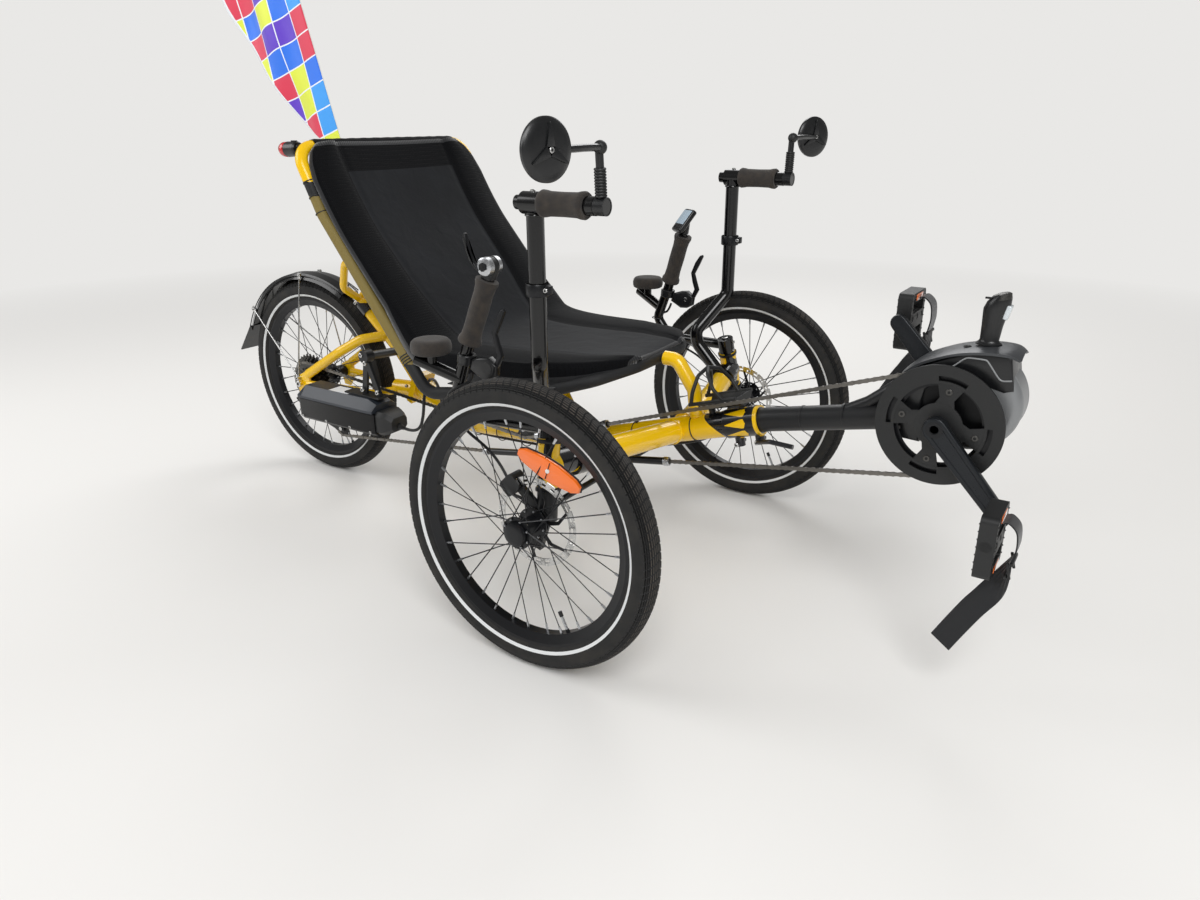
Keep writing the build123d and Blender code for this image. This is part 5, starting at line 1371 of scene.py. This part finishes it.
# Straps under the pan, the wrap round the heel and the sleeve's ring
seatTrim = {
    "strapAt": ((-330, 228), (-225, 228), (-120, 212)),
    "strapWide": 0.038,
    "pan": (-388, 386.6),
    "panSlope": 0.1176,
    "railY": 246,
    "wraps": 4,
    "wrapFrom": (-430, 428),
    "wrapStep": (-3.4, 4.5),
    "sleeveTies": ((-641, 708), (-668, 767), (-655, 739)),
}
bm = bmesh.new()
for x, half in seatTrim["strapAt"]:
    z = seatTrim["pan"][1] + (x - seatTrim["pan"][0]) * seatTrim["panSlope"]
    addBox(bm, at(x, 0, z), (seatTrim["strapWide"], 2 * half * mm, 0.0018))
for side in (-1, 1):
    y = side * seatTrim["railY"]
    for number in range(seatTrim["wraps"]):
        x, z = (a + number * step for a, step in zip(seatTrim["wrapFrom"], seatTrim["wrapStep"]))
        addRing(bm, at(x, y, z), (-250, 0, 332), 0.0131, 0.0013, 1, 32)
    for x, z in seatTrim["sleeveTies"]:
        addRing(bm, at(x, y, z), (-62, 0, 128), 0.0130, 0.0011, 1, 32)
finishPiece("seatTrim", bm, [webbing, blackNylon], "chassis")
print("seat ready")

# Cockpit: foam grips and wrist pads on the bars, brake levers, shifter, display
cockpit = {
    "gripStart": (-176, 355, 512),
    "gripWay": (44, -14, 127),
    "gripLong": 0.116,
    "pad": (-243, 373, 502),
    "leverY": 355,
    "clamp": (-178, 497),
    "pivot": (-126, 489),
    "shell": ((-166, 481), (-161, 499), (-142, 505), (-125, 507), (-108, 495), (-111, 475), (-124, 468), (-140, 467)),
    "blade": ((-119, 484), (-107, 492), (-96, 512), (-103, 532), (-108, 548), (-96, 571), (-88, 588), (-90, 592),
              (-96, 590), (-107, 574), (-117, 550), (-113, 530), (-107, 513), (-113, 500), (-122, 494)),
    "hoseRadius": 0.0026,
    # the hose's places are ahead, outward from the lever's plane, and up
    "hose": ((-168, 0, 474), (-172, -6, 455), (-197, 14, 446), (-217, 15, 428), (-205, 16, 400), (-172, 22, 374),
             (-110, 30, 352), (-74, 34, 318), (-62, 34, 292)),
    "barEnd": (-132, 341, 639),
}
for ending, side in wheelRows:
    low = ending.lower()
    body = f"steering_{low}"
    wear(glossBlack, f"handlebar_{low}")
    aheadRun, asideRun, upRun = cockpit["gripWay"]
    way = Vector((aheadRun, side * asideRun, upRun)).normalized()
    x, y, z = cockpit["gripStart"]
    foot = at(x, side * y, z) + way * 0.014
    long = cockpit["gripLong"]
    bm = bmesh.new()
    profile = [(0.0, 0.0115), (0.0, 0.0195), (0.002, 0.0208), (0.008, 0.0205), (0.014, 0.0176), (0.03, 0.0166),
               (0.06, 0.0171), (0.09, 0.0167), (long - 0.014, 0.0176), (long - 0.006, 0.0200), (long - 0.001, 0.0196),
               (long, 0.0115)]
    addLathe(bm, profile, foot, way, 44)
    piece = finishPiece(f"foamGrip{ending}", bm, [gripFoam], body, [f"grip_{low}"], 50)
    bm = bmesh.new()
    px, py, pz = cockpit["pad"]
    profile = [(0.0, 0.0), (0.0, 0.031), (0.002, 0.0342), (0.007, 0.0358), (0.014, 0.0359), (0.020, 0.0345),
               (0.0242, 0.0305), (0.0256, 0.022), (0.0252, 0.010), (0.0250, 0.0)]
    addLathe(bm, profile, at(px, side * py, pz), (0, 0, 1))
    piece = finishPiece(f"wristPad{ending}", bm, [gripFoam], body, (), 50)

    bm = bmesh.new()
    y = cockpit["leverY"] * side
    (clampX, clampZ), (pivotX, pivotZ) = cockpit["clamp"], cockpit["pivot"]
    addLathe(bm, [(-0.0085, 0.0114), (-0.0085, 0.0150), (-0.007, 0.0163), (0.007, 0.0163), (0.0085, 0.0150),
                  (0.0085, 0.0114)], at(clampX, y, clampZ), (0.12, 0, 1), 40)
    addPlate(bm, [at(px, y, pz) for px, pz in cockpit["shell"]], (0, 1, 0), 0.018, 0, 0.0042, 3)
    addRod(bm, at(pivotX, y, pivotZ), at(pivotX, y + side * 10.2, pivotZ), 0.0115, 1, 0.0100, 32)
    addBolt(bm, at(pivotX, y - side * 9.0, pivotZ), (0, -side, 0), 0.0048, 0.0016, 3, 4)
    addPlate(bm, [at(px, y, pz) for px, pz in cockpit["blade"]], (0, 1, 0), 0.0085, 2, 0.0024, 3)
    addBolt(bm, at(pivotX + 12, y, pivotZ) + leftBy(-side * 0.0045), (0, -side, 0), 0.0035, 0.0014, 3, 4)
    finishPiece(f"brakeLever{ending}", bm, [blackAbs, blackNylon, blackAnodised, steelBright, paintedShadeBlack], body,
                [f"controls_{low}"], 35)

    bm = bmesh.new()
    addTube(bm, [at(px, y + side * py, pz) for px, py, pz in cockpit["hose"]], cockpit["hoseRadius"])
    addRing(bm, at(-204, y, 436), (0, 0, 1), 0.0128, 0.0011, 1, 32)
    finishPiece(f"brakeHose{ending}", bm, [cablePvc, blackNylon], body)

shifter = {
    "barrel": (0.004, 0, 0.018),
    "leverY": -0.0135,
    "leverThick": 0.0095,
    "lever": ((-6, 10), (-17, 26), (-24, 40), (-29, 58), (-31, 69), (-35, 70), (-37, 60), (-31, 41), (-25, 27),
              (-14, 14)),
}
bm = bmesh.new()
x, y, z = cockpit["barEnd"]
rightEnd, leftEnd, way = at(x, -y, z), at(x, y, z), Vector((aheadRun, -asideRun, upRun)).normalized()
addLathe(bm, [(-0.001, 0.0110), (-0.001, 0.0136), (0.004, 0.0140), (0.022, 0.0140), (0.026, 0.0128)], rightEnd,
         way, 36)
barrel = rightEnd + Vector(shifter["barrel"])
addLathe(bm, [(-0.0165, 0.0), (-0.0165, 0.0120), (-0.0150, 0.0150), (-0.0060, 0.0158), (-0.0055, 0.0150),
              (0.0055, 0.0150), (0.0060, 0.0158), (0.0150, 0.0150), (0.0165, 0.0120), (0.0165, 0.0)], barrel,
         (0, 1, 0), 40, lambda a, r: 1 if abs(a) > 0.0058 else 0)
addCrossRod(bm, barrel, -0.0205, -0.0162, 0.0074, 2, segments=6)
# the bolt's socket is painted black as shade
addCrossRod(bm, barrel, -0.0212, -0.0203, 0.0034, 3, segments=6)
leverLine = [rightEnd + Vector((x * mm, shifter["leverY"], z * mm)) for x, z in shifter["lever"]]
addPlate(bm, leverLine, (0, 1, 0), shifter["leverThick"], 2, 0.0026, 3)
# a thin black slit on the lever is painted shade of a gap
addBox(bm, rightEnd + Vector((-0.0305, -0.0187, 0.055)), (0.0035, 0.0012, 0.018), 3, Matrix.Rotation(-0.2, 4, "Y"))
finishPiece("barEndShifter", bm, [blackNylon, alloyBare, blackAnodised, paintedShadeBlack], "steering_right", ["shifter"],
            35)

display = {
    "face": (-0.42, -0.64, 0.64),
    "foot": (0.006, -0.003, 0.024),
    "case": (0.040, 0.058, 0.013),
    "keys": (-0.011, 0.0, 0.011),
}
bm = bmesh.new()
faceWay = Vector(display["face"]).normalized()
levelWay = Vector((0, 0, 1)).cross(faceWay).normalized()
slab = leftEnd + Vector(display["foot"])
turned = Matrix((levelWay, faceWay.cross(levelWay), faceWay)).transposed().to_4x4()
addBox(bm, slab + faceWay * (display["case"][2] / 2), display["case"], 0, turned, 0.0045)
addBox(bm, slab + turned.to_3x3() @ Vector((0, 0.006, 0.0131)), (0.034, 0.036, 0.0008), 1, turned, 0.0003)
for shift in display["keys"]:
    low, high = (slab + turned.to_3x3() @ Vector((shift, -0.020, lift)) for lift in (0.0128, 0.0142))
    addRod(bm, low, high, 0.0036, 2, 0.0031)
addRod(bm, leftEnd + Vector((0.0005, 0, 0.0015)), slab + faceWay * 0.001, 0.0100, 0, segments=32)
finishPiece("barDisplay", bm, [blackAbs, screenGlassSkyReflection, blackNylon], "steering_left", ["display"], 35)

# Steering: the calipers' screws and the kingpins' top ones
kingpin = {"caster": 0.105, "lean": 0.238}


def kingpinSpot(side, z):
    return at((253 - z) * kingpin["caster"], side * (435 - kingpin["lean"] * z), z)


for ending, side in wheelRows:
    low = ending.lower()
    bm = bmesh.new()
    for up in (-9, 9):
        addBolt(bm, kingpinSpot(side, 396) + Vector((0.0172, 0, up * mm)), (1, 0, 0), 0.0038, 0.0028)
    addBolt(bm, kingpinSpot(side, 412.3), (-kingpin["caster"], -side * kingpin["lean"], 1), 0.0075, 0.003)
    finishPiece(f"steeringScrews{ending}", bm, [steelBright, paintedShadeBlack], f"steering_{low}")
print("cockpit ready")

# Stand-up bars: gloss tubes with collars and foam grips, mirrors ahead of them
upper = {
    "barX": -23,
    "barY": 352,
    "collarZ": 630,
    "boltZ": 631,
    "ringZ": 744,
    "capZ": 779,
    "footBolt": (-8.4, 290, 361),
    "gripFrom": -6,
    "gripCap": -54.5,
    "gripZ": 762,
    "mirrorY": 485,
    "mirrorZ": 843,
    "mirrorRadius": 0.0415,
    "stalkX": 101,
    "coilZ": 777,
    "coils": 10,
    "coilStep": 0.0041,
    "rib": ((4, -7), (34, -1.2), (34, 1.2), (4, 7)),
    "ribTurns": (90, 210, 330),
    "mirrorTurn": {-1: math.radians(-14), 1: math.radians(-27)},
}
wear(glossBlack, "assist_bars")
bm = bmesh.new()
for side in (-1, 1):
    y = side * (upper["barY"] + 4)
    addLathe(bm, [(0, 0.0112), (0, 0.0188), (0.003, 0.0206), (0.009, 0.0200), (0.016, 0.0186), (0.041, 0.0181),
                  (0.066, 0.0186), (0.073, 0.0202), (0.079, 0.0206), (0.082, 0.0186), (0.082, 0.0112)],
             at(upper["gripFrom"], y, upper["gripZ"]), (1, 0, 0), 44)
grips = finishPiece("standUpGrips", bm, [gripFoam], "chassis", ["assist_grips"], 50)
bm = bmesh.new()
for side in (-1, 1):
    y = side * upper["barY"]
    addLathe(bm, [(-0.010, 0.0142), (-0.010, 0.0182), (-0.008, 0.0192), (0.008, 0.0192), (0.010, 0.0182),
                  (0.010, 0.0142)], at(upper["barX"], y, upper["collarZ"]), (0, 0, 1), 40, 0)
    addBox(bm, at(-2, y, upper["boltZ"]), (0.012, 0.012, 0.014), bevel=0.002)
    addBolt(bm, at(-2, y - 6, upper["boltZ"]), (0, -1, 0), 0.0040, 0.003, 1, 2)
    addLathe(bm, [(0, 0.0), (0, 0.0092), (-0.0015, 0.0104), (-0.0035, 0.0108)],
             at(upper["gripCap"], y + side * 4, upper["gripZ"]), (-1, 0, 0), 32, 3)
    addRing(bm, at(upper["barX"], y, upper["ringZ"]), (0, 0, 1), 0.0146, 0.0018, 4)
    addBolt(bm, at(upper["barX"], y + side * 4, upper["capZ"]), (0, 0, 1), 0.0042, 0.0026, 1, 2)
    addBolt(bm, at(*mirrored(upper["footBolt"], side)), (0.5, 0, 0.85), 0.0042, 0.003, 1, 2)
finishPiece("standUpBarTrim", bm, [blackAnodised, steelBright, paintedShadeBlack, blackNylon, glossBlack], "chassis")

bm = bmesh.new()
for side in (-1, 1):
    y = side * (upper["barY"] + 4)
    foot = at(upper["stalkX"], y, upper["gripZ"])
    head = at(upper["stalkX"], side * (upper["barY"] + 10), upper["mirrorZ"])
    addLathe(bm, [(-0.0095, 0.0112), (-0.0095, 0.0134), (0.0095, 0.0134), (0.0095, 0.0112)], foot, (1, 0, 0), 36, 0)
    addRod(bm, foot + Vector((0, 0, 0.010)), head, 0.0060, 0, segments=24)
    wireWay = (head - foot).normalized()
    for number in range(upper["coils"]):  # a coil of wire round the stalk's foot
        low = at(upper["stalkX"], side * (upper["barY"] + 5), upper["coilZ"])
        spot = low + wireWay * number * upper["coilStep"]
        addRing(bm, spot, wireWay, 0.0071, 0.0021, 1, 28)
    addBall(bm, at(103, side * (upper["barY"] + 10), upper["mirrorZ"]), 0.0100, 1, 24)
    disc = at(104, side * upper["mirrorY"], upper["mirrorZ"])
    addTube(bm, [at(105, side * (upper["barY"] + 12), upper["mirrorZ"]), at(108, side * 400, upper["mirrorZ"] + 1),
                 at(108, side * 440, upper["mirrorZ"]), disc + Vector((0.0015, 0, 0))], 0.0052)
    radius = upper["mirrorRadius"]
    before = set(bm.faces)
    addLathe(bm, [(-0.0072, 0.0), (-0.0072, radius - 0.0042), (-0.009, radius - 0.0036), (-0.009, radius - 0.0008),
                  (-0.0075, radius), (-0.003, radius), (0.0, radius - 0.003), (0.0022, radius - 0.012),
                  (0.0032, 0.020), (0.0034, 0.0)], disc, (1, 0, 0), 64,
             lambda a, r: 2 if a < -0.0065 and r < radius - 0.004 else 0)
    for turn in upper["ribTurns"]:
        way = Matrix.Rotation(math.radians(turn), 3, "X") @ Vector((0, 1, 0))
        across = Vector((1, 0, 0)).cross(way)
        rib = [disc + Vector((0.0042, 0, 0)) + way * a * mm + across * b * mm for a, b in upper["rib"]]
        addPlate(bm, rib, (1, 0, 0), 0.0034, 0, 0.0006, 2)
    addBolt(bm, disc + Vector((0.0050, 0, 0)), (1, 0, 0), 0.0040, 0.0028, 3, 4)
    turned = list({v for f in bm.faces if f not in before for v in f.verts})
    bmesh.ops.rotate(bm, cent=disc, matrix=Matrix.Rotation(upper["mirrorTurn"][side], 3, "Z"), verts=turned)
finishPiece("barMirrors", bm, [blackAbs, blackNylon, mirrorGlass, steelBright, paintedShadeBlack], "chassis", ["mirrors"],
            35)
print("stand-up bars ready")

# Rear: battery and its bracket, mudguard, tail light, flag
battery = {
    "middleY": -130,
    "half": 40,
    "low": 205,
    "seam": 258,
    "top": 286.5,
    "cut": 7,
    # places along it, each with inset; with inset and top; with half width, low and top
    "case": ((105, 4), (113, 0), (357, 0), (363, 3)),
    "shoulder": ((103.5, 2, 270), (119, 0, 286.5), (333, 0, 286.5), (359, 1.5, 276)),
    "plug": ((361, 34, 208, 262), (379, 34, 208, 262), (393, 29, 212, 258), (405, 24, 218, 250)),
    "labelX": 232,
    "boltsAt": (118, 200, 282, 350),
    "boltZ": 214,
}


def batteryRing(x, outline):
    return [behind(x, battery["middleY"] + y, z) for y, z in outline]


def cutBox(half, low, high, cut):  # an outline with cut corners, four below and then four above
    return ((-half, low + cut), (-half + cut, low), (half - cut, low), (half, low + cut), (half, high - cut),
            (half - cut, high), (-half + cut, high), (-half, high - cut))


b = battery
caseRings, shoulderRings, plugRings = [], [], []
for x, inset in b["case"]:
    half, top = b["half"] - inset, b["seam"] - 1.5
    caseRings.append(batteryRing(x, cutBox(half, b["low"], 0, b["cut"])[:4] + ((half, top), (-half, top))))
for x, inset, top in b["shoulder"]:
    half, seam = b["half"] + 0.6 - inset, b["seam"]
    shoulderRings.append(batteryRing(x, ((-half, seam), (-half, seam + 6), (-half + 17, top), (half - 17, top),
                                         (half, seam + 6), (half, seam))))
for x, half, low, high in b["plug"]:
    plugRings.append(batteryRing(x, cutBox(half, low, high, 8)))
bm = bmesh.new()
addSoftLoft(bm, caseRings, 0.0022, 30, 0)
addSoftLoft(bm, shoulderRings, 0.0035, 18, 1)
addSoftLoft(bm, plugRings, 0.0018, 18, 3)
addBox(bm, behind(b["labelX"], b["middleY"] - 4, b["top"] + 0.1), (0.064, 0.036, 0.0006), 2)
for x in b["boltsAt"]:
    addBolt(bm, behind(x, b["middleY"] - b["half"] + 0.2, b["boltZ"]), (0, -1, 0), 0.0034, 0.0014, 4, 5)
addBox(bm, behind(97, b["middleY"], 240), (0.014, 0.046, 0.030), 3, bevel=0.003)
addRod(bm, behind(96, b["middleY"] - 12, 232), behind(92, b["middleY"] - 12, 232), 0.0062, 4, segments=24)
finishPiece("batteryPack", bm, [batterySlate, batteryShoulder, labelBlank, blackNylon, steelBright, paintedShadeBlack],
            "chassis", ["battery"], 28)

bm = bmesh.new()
for x, z, away in ((312, 384, 10.2), (322, 366, 10.2), (302, 300, 7.0), (350, 300, 7.0)):
    addBolt(bm, behind(x, b["middleY"] - away, z), (0, -1, 0), 0.0055, 0.0034)
finishPiece("bracketScrews", bm, [steelBright, paintedShadeBlack], "chassis")

# The battery's free lead: out of the plug, up and over the chain to the spine
batteryLead = {
    "radius": 0.0035,
    "length": 0.310,
    "route": ((404, -130, 228), (436, -131, 222), (470, -130, 232), (482, -128, 268), (484, -124, 312),
              (478, -100, 344), (462, -62, 330), (448, -34, 286), (441, -25, 253)),
}
leadRoute = [behind(*spot) for spot in batteryLead["route"]]
lead = makeCurve("batteryLead", leadRoute, 12, batteryLead["radius"], 4)
lead.data.materials.append(cablePvc)
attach(lead, "chassis")
bm = bmesh.new()
addLathe(bm, [(-0.002, 0.0), (-0.002, 0.0072), (0.004, 0.0072), (0.005, 0.0062), (0.014, 0.0046), (0.014, 0.0)],
         leadRoute[0], (1, 0, -0.19), 24)
finishPiece("leadBoot", bm, [blackNylon], "chassis")

# Rear mudguard: gloss black blade with rolled edges, wire stays with clips
guard = {
    "inner": 0.267,
    "from": 60,
    "to": 157,
    "half": 0.031,
    "clipsAt": (92, 143),
    "clipY": 0.0318,
    "bridgeBolt": (-4, 82, 267),
}
wear(glossBlack, "mudguard")
bm = bmesh.new()
axle = Vector((rearX, 0, axleZ))
for side in (-1, 1):
    line = []
    for number in range(25):
        turn = math.radians(guard["from"] + 1 + (guard["to"] - guard["from"] - 2) * number / 24)
        line.append(axle + radial(turn, guard["inner"] + 0.001) + leftBy(side * (guard["half"] - 0.0008)))
    addTube(bm, line, 0.0014, 0, 1, 2)
    for turn in guard["clipsAt"]:
        spot = axle + radial(math.radians(turn), guard["inner"] - 0.0005) + leftBy(side * guard["clipY"])
        addBox(bm, spot, (0.011, 0.0065, 0.015), 1, Matrix.Rotation(math.radians(90 - turn), 4, "Y"), 0.0012)
        addBolt(bm, spot + leftBy(side * 0.0032), (0, side, 0), 0.0032, 0.0024, 1, 2)
    addBolt(bm, behind(*mirrored(guard["bridgeBolt"], side)), (0, side, 0), 0.0050, 0.003, 1, 2)
finishPiece("mudguardTrim", bm, [glossBlack, steelBright, paintedShadeBlack], "chassis")

rearLamp = {
    "arm": ((-713, -222, 832), (-722, -222, 829)),
    "body": (-720, -222, 828),
    "way": (-1, 0, -0.04),
    "lensFrom": 0.032,
    "switch": (-731, -222, 843),
}
bm = bmesh.new()
low, high = (at(*spot) for spot in rearLamp["arm"])
addRod(bm, low, high, 0.0080, segments=28)
addLathe(bm, [(0.0, 0.0), (0.0, 0.0125), (0.0025, 0.0148), (0.006, 0.0152), (0.012, 0.0146), (0.030, 0.0151),
              (0.031, 0.0143), (0.033, 0.0143), (0.034, 0.0149), (0.043, 0.0146), (0.048, 0.0126), (0.0513, 0.0078),
              (0.0520, 0.0)], at(*rearLamp["body"]), rearLamp["way"], 48,
         lambda a, r: 1 if a > rearLamp["lensFrom"] else 0)
addBox(bm, at(*rearLamp["switch"]), (0.012, 0.008, 0.0022), 2, bevel=0.0008)
finishPiece("rearLight", bm, [blackAbs, redPrism, blackNylon], "chassis", ["tail_light"], 35)

# Flag: bright chequered nylon with white seams, flying back from its pole
flag = {
    "foot": (244, 28, 414),
    "pole": (-250, 34, 732),
    "start": 430,
    "long": 708,
    "trail": ((0, 2), (85, 42), (180, 245), (264, 440), (248, 560), (162, 676), (60, 706)),
    "rows": 90,
    "columns": 34,
    "cell": 0.058,
    "cellShift": 20.3,
    "colours": ((0.0, "#d8304f"), (0.23, "#2f9bf0"), (0.45, "#5d34c4"), (0.66, "#1670e8"), (0.76, "#dbe63c")),
    "seamColour": "#e8ecf2",
    "thickness": 0.0006,
    "flat": (0.28, 0.74),
}
poleWay = Vector(flag["pole"]).normalized()
backWay = Vector((-poleWay.z, 0, poleWay.x))
sideWay = poleWay.cross(backWay)
if sideWay.y > 0:
    sideWay = -sideWay
flagFoot = behind(*flag["foot"]) + poleWay * flag["start"] * mm
# Thin ripstop nylon: strong dyed cells in random order, sheen, fine square weave
flagNylon, tree, shader = startMaterial("flagNylon", "#3fa5f0", 0.48, Sheen_Weight=0.3, Sheen_Roughness=0.4)
offset = reckonPlaces(tree, "SUBTRACT", place(tree), flagFoot, output="Vector")
steps = [reckon(tree, "MULTIPLY_ADD", reckonPlaces(tree, "DOT_PRODUCT", offset, way), 1 / flag["cell"],
                flag["cellShift"]) for way in (backWay, poleWay)]
cells = [reckon(tree, "FLOOR", step) for step in steps]
spot = node(tree, "ShaderNodeCombineXYZ", {"X": cells[0], "Y": cells[1]})
chance = node(tree, "ShaderNodeTexWhiteNoise", {"noise_dimensions": "3D", "Vector": spot.outputs["Vector"]})
widest = reckon(tree, "MAXIMUM", *[fromMiddle(tree, step) for step in steps])
paintOver(tree, shader, stepColours(tree, chance.outputs["Value"], flag["colours"]), flag["seamColour"],
          reckon(tree, "GREATER_THAN", widest, 0.474))
addBump(tree, shader, cellPattern(tree, 1.1 * mm, 0.0), 0.4, 0.15 * mm)
hemNylon = grained("flagHem", "#e4e8ee", 0.55, 0.0, 1.2, 0.1, Sheen_Weight=0.3)
# Pole: pale fibreglass rod
poleGlass = grained("poleFibreglass", "#d9dbd6", 0.3, 0.0, 3, 0.04, 0.05, IOR=1.5)
wear(poleGlass, "flag_pole")

trail = smoothPath([Vector((wide, along, 0)) for wide, along in flag["trail"]], flag["rows"] + 1)
rows = []
for number in range(flag["rows"] + 1):
    t = number / flag["rows"]
    wide, along = trail[number].x, trail[number].y
    row = []
    for k in range(flag["columns"] + 1):
        v = k / flag["columns"]
        aside = (-10 + 5 * t) * (1 - v) + wide * v
        up = flag["long"] * t * (1 - v) + along * v
        wave = math.sin(aside * 0.034 + up * 0.012) * 7 + math.sin(aside * 0.061 - up * 0.021 + 1.0) * 3
        off = 5.2 + wave * min(1.0, max(0.0, aside - 6) / 90) ** 1.2
        row.append(flagFoot + backWay * aside * mm + poleWay * up * mm + sideWay * off * mm)
    rows.append(row)
bm = bmesh.new()
addRows(bm, rows, lambda number, k: 1 if k == flag["columns"] - 1 or number in (0, flag["rows"] - 1) else 0)
area = sum(face.calc_area() for face in bm.faces)
cloth = finishPiece("flagCloth", bm, [flagNylon, hemNylon], "chassis", ["flag"], 80)
solid = cloth.modifiers.new("thickness", "SOLIDIFY")
solid.thickness = flag["thickness"]
solid.offset = 0.0
print("rear ready")
